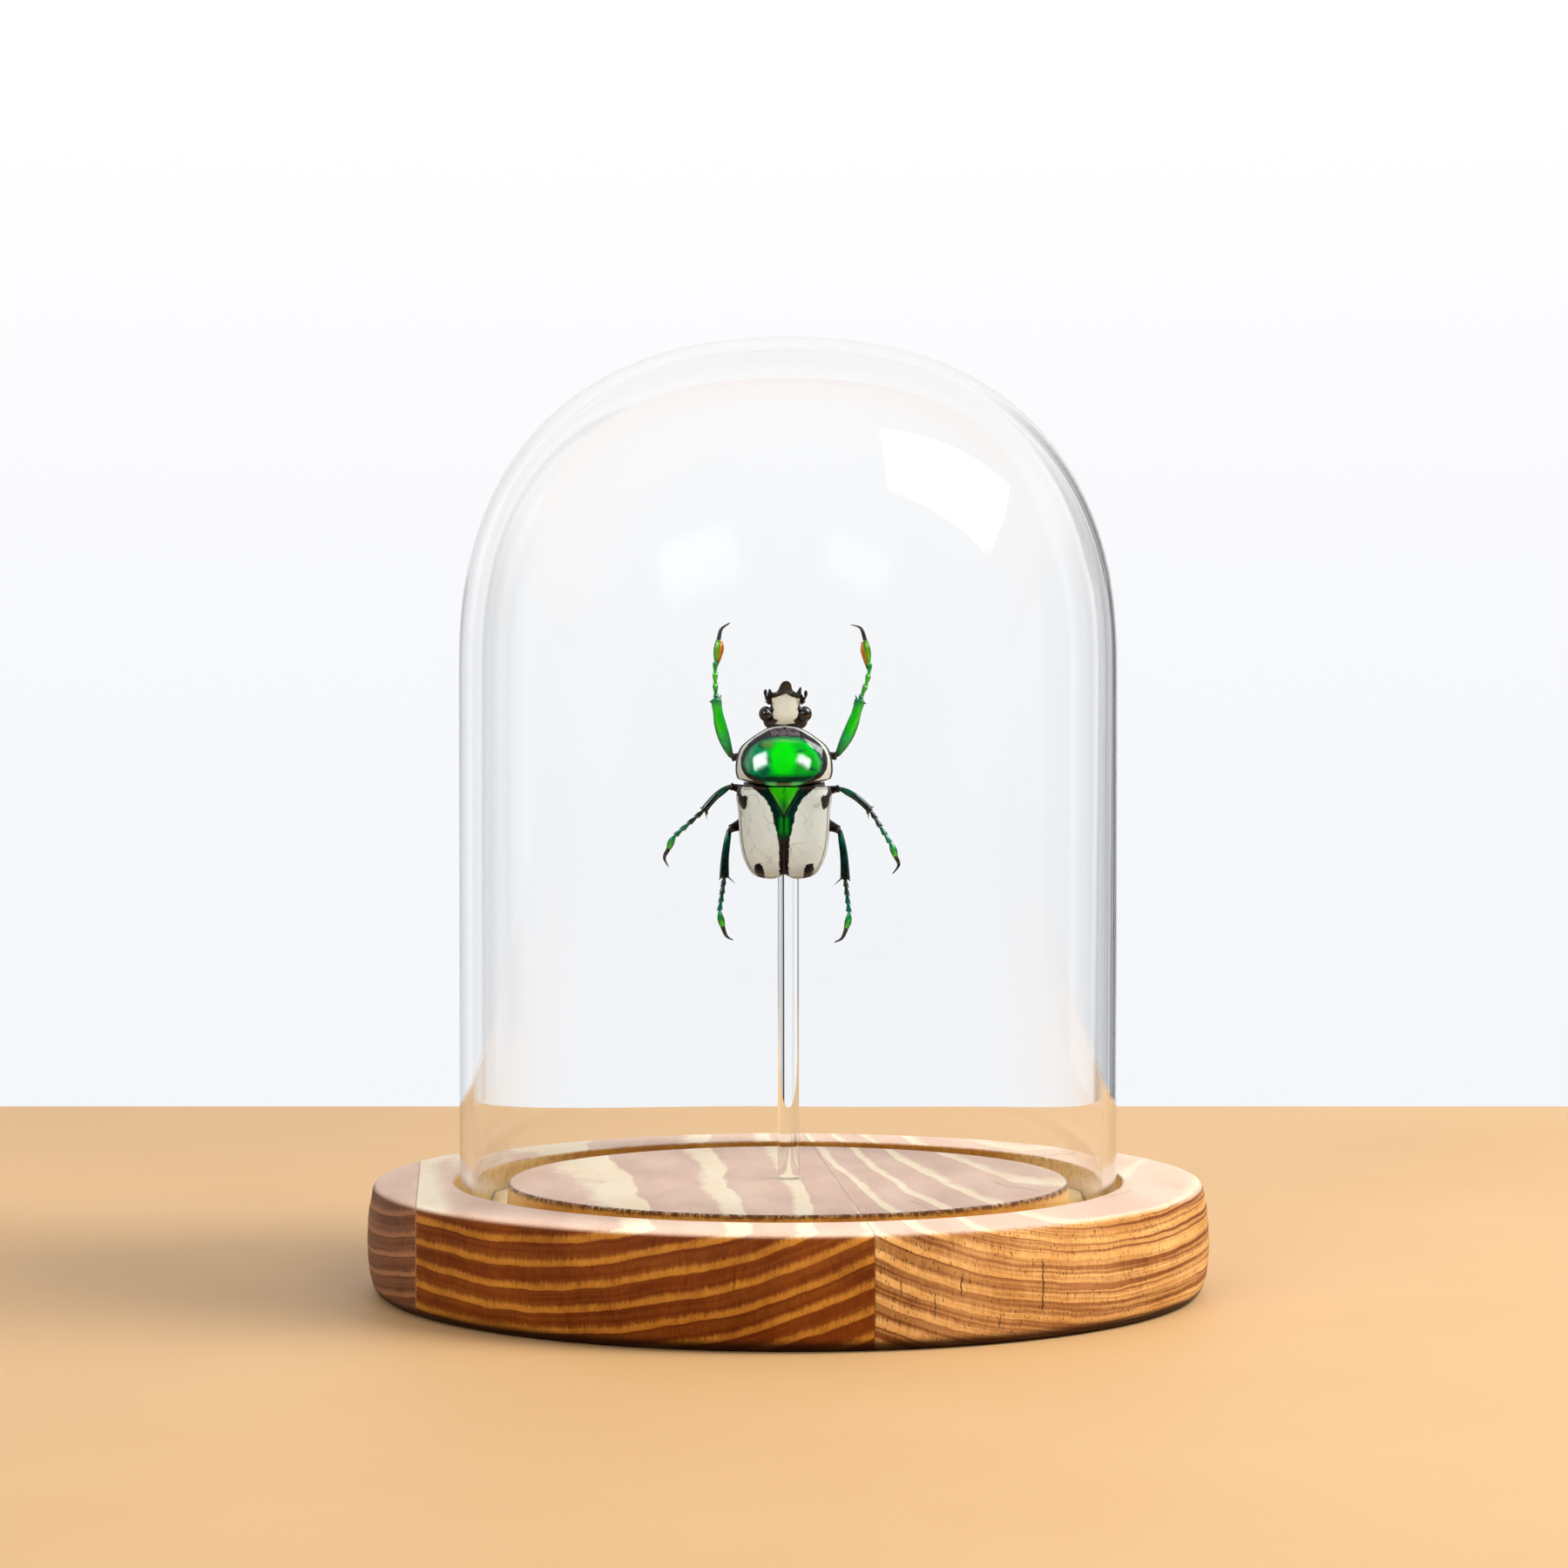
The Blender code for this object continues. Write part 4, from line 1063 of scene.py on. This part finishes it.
def green_pronotum(name, coat_ior):
    s = Shader(name, Coat_Weight=1.0, Coat_Roughness=0.035, Coat_IOR=coat_ior, Specular_IOR_Level=0.0)
    disc = s.attribute("disc") + ragged(s, 0.10)
    inner = s.attribute("inner")
    rim = s.attribute("rim")

    # The green disc carries painted light and shade: a painted highlight in its middle, painted shade
    # to either side, in front and at its edge, a painted dark reflection behind, a painted pale reflection
    # at the upper left and painted highlights at the rear. It is veined to the sides.
    # Painted shade on the left and right of the disc.
    green = s.mix(s.step(s.x, -0.8, -3.4), (0.0, 0.50, 0.018), (0.0, 0.27, 0.085))
    green = s.mix(s.step(s.x, 1.0, 3.6), green, (0.0, 0.42, 0.010))
    # Painted highlight in the middle of the disc.
    heart = s.length((s.x + 0.1) / 2.1, (s.y - 4.1) / 3.3)
    green = s.mix(s.step(heart, 1.15, 0.55), green, (0.0, 0.96, 0.002))
    veins = s.noise((0.55, 0.9, 0.55), 3)
    green = s.mix(s.step(veins, 0.5, 0.62) * (s.step(abs(s.x), 1.2, 2.6) * 0.8), green, (0.0, 0.05, 0.022))
    # Painted pale reflection at the upper left.
    painted_reflection_patch = s.length((s.x + 2.3) / 1.1, (s.y - 6.0) / 0.6)
    green = s.mix(s.step(painted_reflection_patch, 1.1, 0.5) * 0.7, green, (0.14, 0.34, 0.05))
    # Painted shade in front.
    green = s.mix(s.step(s.y, 6.1, 7.1) * 0.75, green, (0.01, 0.12, 0.035))
    # Painted dark reflection behind.
    painted_rear_reflection = s.step(s.y + ragged(s) * 1.2, 2.1, 1.3)
    green = s.mix(painted_rear_reflection * 0.95, green, (0.0, 0.030, 0.016))
    # Painted highlights at the rear.
    painted_rear_highlight = abs(abs(s.x) - 1.9)
    green = s.mix(s.step(s.y, 0.95, 0.55) * s.step(painted_rear_highlight, 1.2, 0.4), green, (0.02, 0.60, 0.12))
    # Painted shade at the edge of the disc.
    edge = s.step(disc, 0.55, 0.05)
    green = s.mix(edge * 0.7, green, (0.0, 0.09, 0.045))
    is_green = s.step(disc, -0.06, 0.10)

    # Black round it, with a painted highlight on the black in front, and a white border between black rims.
    white = s.mix(s.noise(1.2, 3), (0.60, 0.61, 0.52), (0.72, 0.74, 0.67))
    is_white = s.step(inner + ragged(s, 0.05), 0.02, -0.04) * s.step(s.z, -1.6, -1.2)
    colour = s.mix(is_green, BLACK, green)
    # Painted highlight on the black in front of the disc.
    painted_front_highlight = s.step(s.y, 7.0, 7.5) * s.step(abs(s.x), 2.6, 1.9)
    painted_front_highlight = painted_front_highlight * s.step(s.noise((1.7, 0.8, 1.7), 2), 0.34, 0.46)
    colour = s.mix(painted_front_highlight, colour, (0.105, 0.080, 0.095))
    colour = s.mix(is_white, colour, white)
    thin = s.step(rim, 0.16, 0.07)
    colour = s.mix(thin * s.step(s.z, 1.6, 1.2), colour, (0.035, 0.03, 0.03))
    rear = s.step(s.y + abs(s.x) * -0.14, 0.36, 0.28)
    colour = s.mix(rear * (1.0 - is_green), colour, (0.02, 0.018, 0.018))
    s.set(Base_Color=colour, Metallic=is_green * (1.0 - is_white) * 0.55)
    return s.set(Roughness=s.pick(is_green, 0.30, 0.42), Normal=punctures(s, 5.5, 0.008)).material


def wing_case():
    s = Shader("ivory_wing_case", Coat_Weight=0.12, Coat_Roughness=0.07, Coat_IOR=1.5, Specular_IOR_Level=0.1)
    side_x = abs(s.x)
    dark, spot, rim, front = (s.attribute(name) for name in ("dark", "spot", "rim", "front"))

    # Clouded ivory, yellower to the edge, with painted shade: darker to the right, darker and bluer at the
    # tail.
    cloud = s.noise(0.35, 4, 0.6)
    ivory = s.mix(cloud, (0.735, 0.785, 0.715), (0.82, 0.88, 0.835))
    # Painted shade: darker to the right.
    ivory = s.mix(s.step(s.x, 0.8, 4.0) * 0.75, ivory, (0.575, 0.615, 0.58))
    ivory = s.mix(s.step(rim, 2.6, 0.5) * 0.6, ivory, (0.70, 0.70, 0.54))
    # Painted shade: darker and bluer at the tail.
    ivory = s.mix(s.step(s.y, -10.0, -12.2) * 0.65, ivory, (0.55, 0.63, 0.68))
    grey = s.noise((0.8, 0.35, 0.8), 5, 0.65)
    ivory = s.mix(s.step(grey, 0.56, 0.68) * 0.35, ivory, (0.56, 0.585, 0.54))

    # Cracks, hairlines and specks.
    sway = s.noise(0.45, 2.0, 0.5, "Color")
    sway = s.node("VectorMath", {0: sway, "Scale": 0.55}, operation="SCALE")
    bent = s.node("VectorMath", {0: s.stretch((0.20, 0.15, 0.20)), 1: sway}, operation="ADD")
    crack = s.step(s.cells(bent), 0.0125, 0.004)
    crack = crack * s.step(s.noise(0.3, 2), 0.36, 0.46)
    hair = s.step(s.cells((0.65, 0.42, 0.65)), 0.024, 0.006)
    hair = hair * s.step(s.noise(0.6, 1), 0.54, 0.66)
    ivory = s.mix(crack * 0.42, ivory, (0.23, 0.22, 0.19))
    ivory = s.mix(hair * 0.35, ivory, (0.28, 0.27, 0.23))
    dust = s.step(s.cells(0.9, "F1"), 0.10, 0.05)
    ivory = s.mix(dust * s.step(s.noise(0.3, 1), 0.5, 0.6), ivory, (0.22, 0.21, 0.18))

    # The dark middle, green in front and with a painted highlight along the suture, and the black spots.
    rough_edge = ragged(s, 0.30)
    in_dark = s.step(dark + rough_edge, -0.02, 0.05)
    night = s.mix(s.step(s.y, -5.9, -6.9), (0.0, 0.030, 0.019), BLACK)
    night = s.mix(s.step(dark, 0.35, 0.1) * s.step(s.y, -6.0, -5.0), night, (0.004, 0.055, 0.038))
    night = s.mix(s.step(side_x + s.y * 0.35, 2.6, 3.0), night, (0.010, 0.008, 0.009))
    # Painted highlights along the suture.
    streak = s.step(abs(side_x - 0.42), 0.38, 0.04) * (s.step(s.y, -6.9, -6.0) * s.step(s.y, -3.9, -4.5))
    painted_suture_glow = s.step(s.y, -5.4, -6.8) * s.step(s.y, -8.2, -7.0)
    painted_suture_light = s.step(side_x, 1.05, 0.5) * (s.step(s.y, -7.3, -5.9) * s.step(s.y, -3.7, -4.5))
    night = s.mix(painted_suture_light * 0.85, night, (0.0, 0.17, 0.012))
    night = s.mix(streak * 0.9, night, (0.0, 0.42, 0.008))
    night = s.mix(painted_suture_glow * 0.3 * (1.0 - streak), night, (0.0, 0.07, 0.03))
    in_spot = s.step(spot + rough_edge, -0.03, 0.05)
    colour = s.mix(in_dark, ivory, night)
    colour = s.mix(in_spot, colour, BLACK)

    # Painted shade in the grooves along the edge and the front, and the dark rim and underside.
    fine = (s.noise(2.2, 2) - 0.5) * 0.25
    # Painted shade in the groove along the edge.
    painted_edge_groove_shade = s.step(abs(rim + fine - 1.8), 0.26, 0.12)
    colour = s.mix(painted_edge_groove_shade * 0.75, colour, (0.075, 0.065, 0.045))
    # Painted shade in the groove along the front.
    painted_front_groove_shade = s.step(abs(front + fine - 0.36), 0.09, 0.03)
    colour = s.mix(painted_front_groove_shade * 0.55, colour, (0.10, 0.085, 0.06))
    line = s.max(s.step(rim, 1.08, 0.85), s.step(front, 0.13, 0.08))
    colour = s.mix(line * 0.93, colour, (0.020, 0.016, 0.013))
    under = s.step(rim, 0.001, 0.0)
    colour = s.mix(under, colour, (0.012, 0.010, 0.009))
    relief = cloud * 0.8 - (crack * 0.8 + hair * 0.4)
    metal = in_dark * s.step(s.y, -7.2, -6.4)
    s.set(Base_Color=colour, Metallic=metal * 0.4, Roughness=s.pick(in_dark, 0.34, 0.22))
    return s.set(Normal=s.bump(relief + in_dark * -0.4, 0.03)).material


def green_scutellum():
    s = Shader("green_scutellum", Coat_Weight=0.9, Coat_Roughness=0.04, Coat_IOR=1.6, Specular_IOR_Level=0.0)
    along = s.y / -SCUTELLUM_LENGTH
    green = s.mix(s.step(along, 0.1, 0.85), (0.04, 0.85, 0.003), (0.0, 0.24, 0.012))
    middle = s.step(abs(s.x - 0.05), 0.32, 0.03)
    green = s.mix(middle * 0.55, green, (0.0, 0.16, 0.01))
    flank = abs(s.x) - (1.0 - along) * SCUTELLUM_HALF
    green = s.mix(s.step(flank, -0.35, 0.0) * 0.7, green, (0.005, 0.09, 0.03))
    patch = s.noise((1.1, 0.5, 1.1), 3)
    green = s.mix(s.step(patch, 0.48, 0.65) * 0.5, green, (0.02, 0.55, 0.0))
    s.set(Base_Color=green, Metallic=0.4, Roughness=0.20 + patch * 0.12)
    return s.set(Normal=punctures(s, 4.0, 0.010)).material


def face_and_horn():
    s = Shader("ivory_face", Coat_Weight=0.6, Coat_Roughness=0.06, Coat_IOR=1.6, Specular_IOR_Level=0.1)
    shield = s.attribute("shield") + ragged(s, 0.05)
    is_face = s.step(shield, -0.03, 0.04) * s.step(s.z, 0.2, 0.45)
    tone = s.noise(0.9, 4)
    ivory = s.mix(tone, (0.74, 0.72, 0.60), (0.92, 0.91, 0.79))
    ivory = s.mix(s.step(s.y, 10.4, 9.0) * 0.35, ivory, (0.36, 0.37, 0.31))
    ivory = s.mix(s.step(shield, 0.22, 0.03) * 0.35, ivory, (0.55, 0.44, 0.30))
    black = s.mix(s.noise(2.0, 4), BLACK, (0.018, 0.014, 0.014))
    s.set(Base_Color=s.mix(is_face, black, ivory), Roughness=s.pick(is_face, 0.26, 0.36))
    return s.set(Normal=punctures(s, 4.5, 0.02)).material


def black_cuticle(name, coat=0.5, roughness=0.3, brown=0.0, membrane=False):
    """Black chitin. A membrane is the soft olive skin in the waist behind the pronotum."""
    s = Shader(name, Coat_Weight=coat, Coat_Roughness=0.06, Coat_IOR=1.6, Specular_IOR_Level=0.1)
    tone = s.noise(1.3, 4)
    colour = s.mix(tone, BLACK, (0.014 + brown * 0.03, 0.012 + brown * 0.004, 0.012))
    if membrane:
        skin_tone = s.mix(s.noise((1.5, 2.5, 1.5), 3), (0.010, 0.009, 0.006), (0.13, 0.115, 0.05))
        beside = s.step(abs(s.x), 3.7, 4.5)
        colour = s.mix(beside * s.step(s.y, -0.9, -0.3), colour, skin_tone)
    s.set(Base_Color=colour, Roughness=(roughness - 0.08) + tone * 0.16)
    return s.set(Normal=punctures(s, 3.2, 0.03)).material


def faceted_eye():
    s = Shader("eye_surface", Coat_Weight=0.9, Coat_Roughness=0.03, Coat_IOR=1.6, Specular_IOR_Level=0.0)
    facets = s.cells(16)
    tone = s.noise(0.8, 2)
    colour = s.mix(tone, (0.004, 0.003, 0.003), (0.013, 0.009, 0.008))
    s.set(Base_Color=colour, Roughness=0.14 + tone * 0.1)
    return s.set(Normal=s.bump(facets, 0.0009)).material


def leg_green(name, claws=True, pad=False):
    """Cuticle coloured along the leg, with painted shade to its edges. Feet have claws, front ones a pad."""
    stops, edge = LEG_COLOURS[name]
    s = Shader(name, Coat_Weight=0.8, Coat_Roughness=0.06, Coat_IOR=1.6, Specular_IOR_Level=0.0)
    along, offset = s.attribute("along"), s.attribute("offset")
    mottle = s.noise(1.4, 3) - 0.5
    colour = s.ramp(along + mottle * 0.12, *stops)
    # Painted shade towards the edges of the leg.
    shade = s.step(abs(offset + mottle * 0.15), *edge)
    colour = s.mix(shade * 0.85, colour, (0.0, 0.045, 0.032))
    colour = s.mix(s.step(s.z, -2.6, -3.3), colour, (0.006, 0.03, 0.022))
    metal = 0.3
    if pad:
        on_pad = s.step(offset, -0.30, -0.38) * s.step(along, 0.6, 0.68)
        rust = s.mix(s.noise(2, 2), (0.36, 0.11, 0.005), (0.70, 0.28, 0.02))
        colour = s.mix(on_pad, colour, rust)
    if claws:
        claw = s.attribute("claw")
        colour = s.mix(claw, colour, s.mix(s.noise(1, 2), (0.008, 0.008, 0.008), (0.04, 0.04, 0.04)))
        metal = (1.0 - claw) * 0.3
    s.set(Base_Color=colour, Metallic=metal, Roughness=0.26 + mottle * 0.15)
    return s.set(Normal=punctures(s, 4.0, 0.015)).material


# Colours along the leg: share of the length, colour. Then where the painted shade of its edges starts and ends.
LEG_COLOURS = {
    "front_tibia_green": (
        [(0.0, (0.004, 0.03, 0.015)), (0.12, (0.0, 0.26, 0.05)), (0.3, (0.0, 0.50, 0.10)),
         (0.5, (0.01, 0.78, 0.006)), (0.85, (0.01, 0.66, 0.02)), (1.0, (0.0, 0.22, 0.08))], (0.38, 0.88)),
    "dark_tibia_green": (
        [(0.0, (0.010, 0.016, 0.015)), (0.15, (0.0, 0.13, 0.07)), (0.45, (0.0, 0.045, 0.030)),
         (0.8, (0.008, 0.016, 0.014)), (1.0, (0.008, 0.008, 0.008))], (0.15, 0.5)),
    "front_foot_green": (
        [(0.0, (0.0, 0.12, 0.10)), (0.12, (0.02, 0.36, 0.03)), (0.4, (0.07, 0.62, 0.010)),
         (0.62, (0.0, 0.36, 0.06)), (0.8, (0.19, 0.58, 0.006)), (1.0, (0.10, 0.36, 0.006))], (0.10, 0.42)),
    "foot_green": (
        [(0.0, (0.018, 0.018, 0.018)), (0.18, (0.012, 0.05, 0.04)), (0.35, (0.0, 0.17, 0.10)),
         (0.6, (0.0, 0.24, 0.11)), (0.8, (0.01, 0.46, 0.04)), (1.0, (0.07, 0.58, 0.008))], (0.10, 0.42)),
}
# The green part of the pronotum has a denser clear coat than its black and white parts.
DISC_COAT_IOR = 2.0
BORDER_COAT_IOR = 1.4


def beetle_piece(name, shape, material, slot, node):
    points, faces, *attributes = shape
    return piece(name, points, faces, material, slot, [node], BEETLE, *attributes)


def build_beetle():
    black = black_cuticle("black_cuticle")
    limb_black = black_cuticle("leg_cuticle", 0.6, 0.28, 0.35)
    ivory = wing_case()
    points, faces, marks = pronotum()
    green = green_pronotum("green_pronotum", DISC_COAT_IOR)
    shield = beetle_piece("pronotum_shield", (points, faces, marks), green, "green_shell", "pronotum")
    shield.data.materials.append(green_pronotum("black_pronotum", BORDER_COAT_IOR))
    front_right = (points @ (0.6, 0.8, 0) > 6.25) & (points[:, 0] > 1)
    beside_disc = (marks["disc"] < 0.4) | front_right
    for face in shield.data.polygons:
        face.material_index = int(all(beside_disc[corner] for corner in face.vertices))
    beetle_piece("scutellum_plate", scutellum(), green_scutellum(), "green_shell", "scutellum")
    waist = black_cuticle("waist_cuticle", membrane=True)
    beetle_piece("thorax_shell", grooved(THORAX, (-2.2,)), waist, "black_shell", "thorax")
    beetle_piece("abdomen_shell", grooved(ABDOMEN, STERNITES), black, "black_shell", "abdomen")
    points, faces = fused(head_parts(), voxel=0.05, rounds=2)
    marks = {"shield": within(points, FACE_SHIELD)}
    beetle_piece("head_capsule", (points, faces, marks), face_and_horn(), "ivory_shell", "head")
    eye_surface = faceted_eye()
    antenna_surface = black_cuticle("antenna_cuticle", 0.4, 0.34, 0.3)
    for name, side in (("left", -1), ("right", 1)):
        beetle_piece("wing_case_" + name, elytron(side), ivory, "ivory_shell", "elytron_" + name)
        beetle_piece("compound_eye_" + name, eye(side), eye_surface, "black_shell", "eye_" + name)
        beetle_piece("club_antenna_" + name, antenna(name), antenna_surface, "black_shell", "antenna_" + name)
    tibia_front = leg_green("front_tibia_green", claws=False)
    tibia_dark = leg_green("dark_tibia_green", claws=False)
    foot_front = leg_green("front_foot_green", pad=True)
    foot_back = leg_green("foot_green")
    for name in LEGS:
        front = name.startswith("front")
        beetle_piece("femur_shell_" + name, femur(name), limb_black, "black_shell", "femur_" + name)
        beetle_piece("tibia_shell_" + name, tibia(name), tibia_front if front else tibia_dark,
                     "green_leg" if front else "dark_leg", "tibia_" + name)
        beetle_piece("tarsus_" + name, foot(name), foot_front if front else foot_back,
                     "green_leg", "foot_" + name)


build_beetle()


# ---------------------------------------------------------------- room, light and camera

FLOOR_BACK = 0.243
FLOOR_FRONT = -0.45
FLOOR_HALF_WIDTH = 3
FLOOR_TONES = (0.450, 0.262, 0.105), (0.495, 0.300, 0.130)
CAMERA_PLACE = (-0.0006, -0.600, 0.0894)
CAMERA_TILT = 1.67
CAMERA_LENS = 96.56
SENSOR_WIDTH = 36

# The room, by direction. Bearings are in degrees from straight behind the object, positive to the right.
# Flags are darker strips low in the room that draw the edges of the glass: from, to, softness, how dark.
FLAGS = [(15.0, 23.0, 1.2, 0.92), (26.0, 35.5, 1.5, 0.45), (46.0, 60.0, 2.0, 0.62), (66.0, 100.0, 8.0, 0.22),
         (-68.0, -47.0, 2.0, 0.7), (-24.0, -14.0, 3.0, 0.14), (-110.0, -80.0, 8.0, 0.22)]
FLAG_FADE = (0.42, 0.10)
# The dark zone in front: how dark, and the bearings and heights between which it starts and ends.
FRONT_SHADE = 0.97
FRONT_SIDES = (105.0, 135.0)
FRONT_LOW, FRONT_HIGH = (-0.5, -0.3), (0.95, 0.80)
# Soft windows in front that light the beetle: bearing and height in degrees, turn, half width and half height
# as slopes, brightness. Bearings here are from the camera's side, positive to the right.
WINDOWS = [(-34.0, 25.0, -22.0, 0.235, 0.165, 9.0), (25.5, 25.0, 28.0, 0.185, 0.115, 9.0)]
WINDOW_EDGE = 0.07
LOW_AIR, HIGH_AIR = (0.93, 0.945, 0.975), (0.985, 0.985, 1.0)


def make_floor():
    mesh = bpy.data.meshes.new("floor")
    wide = FLOOR_HALF_WIDTH
    corners = [(-wide, FLOOR_FRONT, 0), (wide, FLOOR_FRONT, 0), (wide, FLOOR_BACK, 0), (-wide, FLOOR_BACK, 0)]
    mesh.from_pydata(corners, [], [(0, 1, 2, 3)])
    floor = in_scene("floor", mesh)
    s = Shader("pale_floor", Roughness=0.6)
    mottle = s.noise(0.02, 4)
    colour = s.mix(mottle, *FLOOR_TONES)
    mesh.materials.append(s.set(Base_Color=colour).material)


def make_room():
    """A bright pale room, nearly black in front, with a few darker strips low down and two soft windows."""
    world = bpy.data.worlds.new("room")
    bpy.context.scene.world = world
    world.use_nodes = True
    tree = world.node_tree
    nodes, links = tree.nodes, tree.links

    def value(operation, *values):
        made = nodes.new("ShaderNodeVectorMath" if operation == "DOT_PRODUCT" else "ShaderNodeMath")
        made.operation = operation
        for socket, item in zip(made.inputs, values):
            if isinstance(item, bpy.types.NodeSocket):
                links.new(item, socket)
            else:
                socket.default_value = item
        return made.outputs["Value"]

    def smooth(item, start, end, low=0.0, high=1.0):
        made = nodes.new("ShaderNodeMapRange")
        made.interpolation_type = "SMOOTHSTEP"
        links.new(item, made.inputs[0])
        for socket, number in zip(made.inputs[1:5], (start, end, low, high)):
            socket.default_value = number
        return made.outputs[0]

    place = nodes.new("ShaderNodeTexCoord").outputs["Generated"]
    split = nodes.new("ShaderNodeSeparateXYZ")
    links.new(place, split.inputs[0])
    x, y, z = split.outputs
    bearing = value("MULTIPLY", value("ARCTAN2", x, y), 180 / math.pi)
    shade = 0.0
    for start, end, soft, dark in FLAGS:
        rise, fall = smooth(bearing, start - soft, start + soft), smooth(bearing, end + soft, end - soft)
        shade = value("ADD", shade, value("MULTIPLY", value("MULTIPLY", rise, fall), dark))
    shade = value("MULTIPLY", shade, smooth(z, *FLAG_FADE))
    front = smooth(value("ABSOLUTE", bearing), *FRONT_SIDES)
    front = value("MULTIPLY", front, value("MULTIPLY", smooth(z, *FRONT_LOW), smooth(z, *FRONT_HIGH)))
    strength = value("MULTIPLY", value("SUBTRACT", 1.0, shade), smooth(z, 0.0, 0.2, 0.985, 1.03))
    strength = value("MULTIPLY", strength, smooth(z, 0.35, 0.7, 1.0, 0.93))
    strength = value("MULTIPLY", strength, value("SUBTRACT", 1.0, value("MULTIPLY", front, FRONT_SHADE)))
    for turn, height, roll, half_width, half_height, bright in WINDOWS:
        turned_to = Matrix.Identity(3)
        for angle, axis in ((turn, "Z"), (-height, "X"), (roll, "Y")):
            turned_to = turned_to @ Matrix.Rotation(math.radians(angle), 3, axis)
        wide, ahead, high = (turned_to @ Vector(axis) for axis in ((1, 0, 0), (0, -1, 0), (0, 0, 1)))
        facing = value("DOT_PRODUCT", place, ahead)
        pane = smooth(facing, 0.05, 0.1, 0.0, bright)
        for axis, half in ((wide, half_width), (high, half_height)):
            slope = value("ABSOLUTE", value("DIVIDE", value("DOT_PRODUCT", place, axis), facing))
            pane = value("MULTIPLY", pane, smooth(slope, half + WINDOW_EDGE, half - WINDOW_EDGE))
        strength = value("ADD", strength, pane)
    tint = nodes.new("ShaderNodeValToRGB")
    for element, colour in zip(tint.color_ramp.elements, (LOW_AIR, HIGH_AIR)):
        element.color = (*colour, 1)
    links.new(smooth(z, -0.12, 0.15), tint.inputs[0])
    background = nodes["Background"]
    links.new(tint.outputs[0], background.inputs["Color"])
    links.new(strength, background.inputs["Strength"])


# The soft rectangular light: what it faces, from which direction, the direction of its width, how far away it
# is, its size, and how bright its face looks.
LIGHT = {"target": (0.020, -0.037, 0.112), "direction": (0.70, -0.078, 0.71), "across": (0.465, 0.29, -0.39),
         "distance": 0.8, "size": (0.56, 0.42), "radiance": 15.0}


def area_light(name, target, direction, across, distance, size, radiance):
    data = bpy.data.lights.new(name, "AREA")
    data.shape = "RECTANGLE"
    data.size, data.size_y = size
    data.energy = radiance * math.pi * size[0] * size[1]
    light = in_scene(name, data)
    away = Vector(direction).normalized()
    wide = Vector(across)
    wide = (wide - away * wide.dot(away)).normalized()
    turned_to = Matrix((wide, away.cross(wide), away)).transposed().to_4x4()
    light.matrix_world = Matrix.Translation(Vector(target) + away * distance) @ turned_to


def make_camera():
    data = bpy.data.cameras.new("camera")
    data.lens = CAMERA_LENS
    data.sensor_width = SENSOR_WIDTH
    camera = in_scene("camera", data)
    camera.location = CAMERA_PLACE
    camera.rotation_euler = (math.radians(90 - CAMERA_TILT), 0, 0)
    bpy.context.scene.camera = camera


make_floor()
make_room()
area_light("window", **LIGHT)
make_camera()
bpy.context.scene.view_settings.view_transform = "Standard"
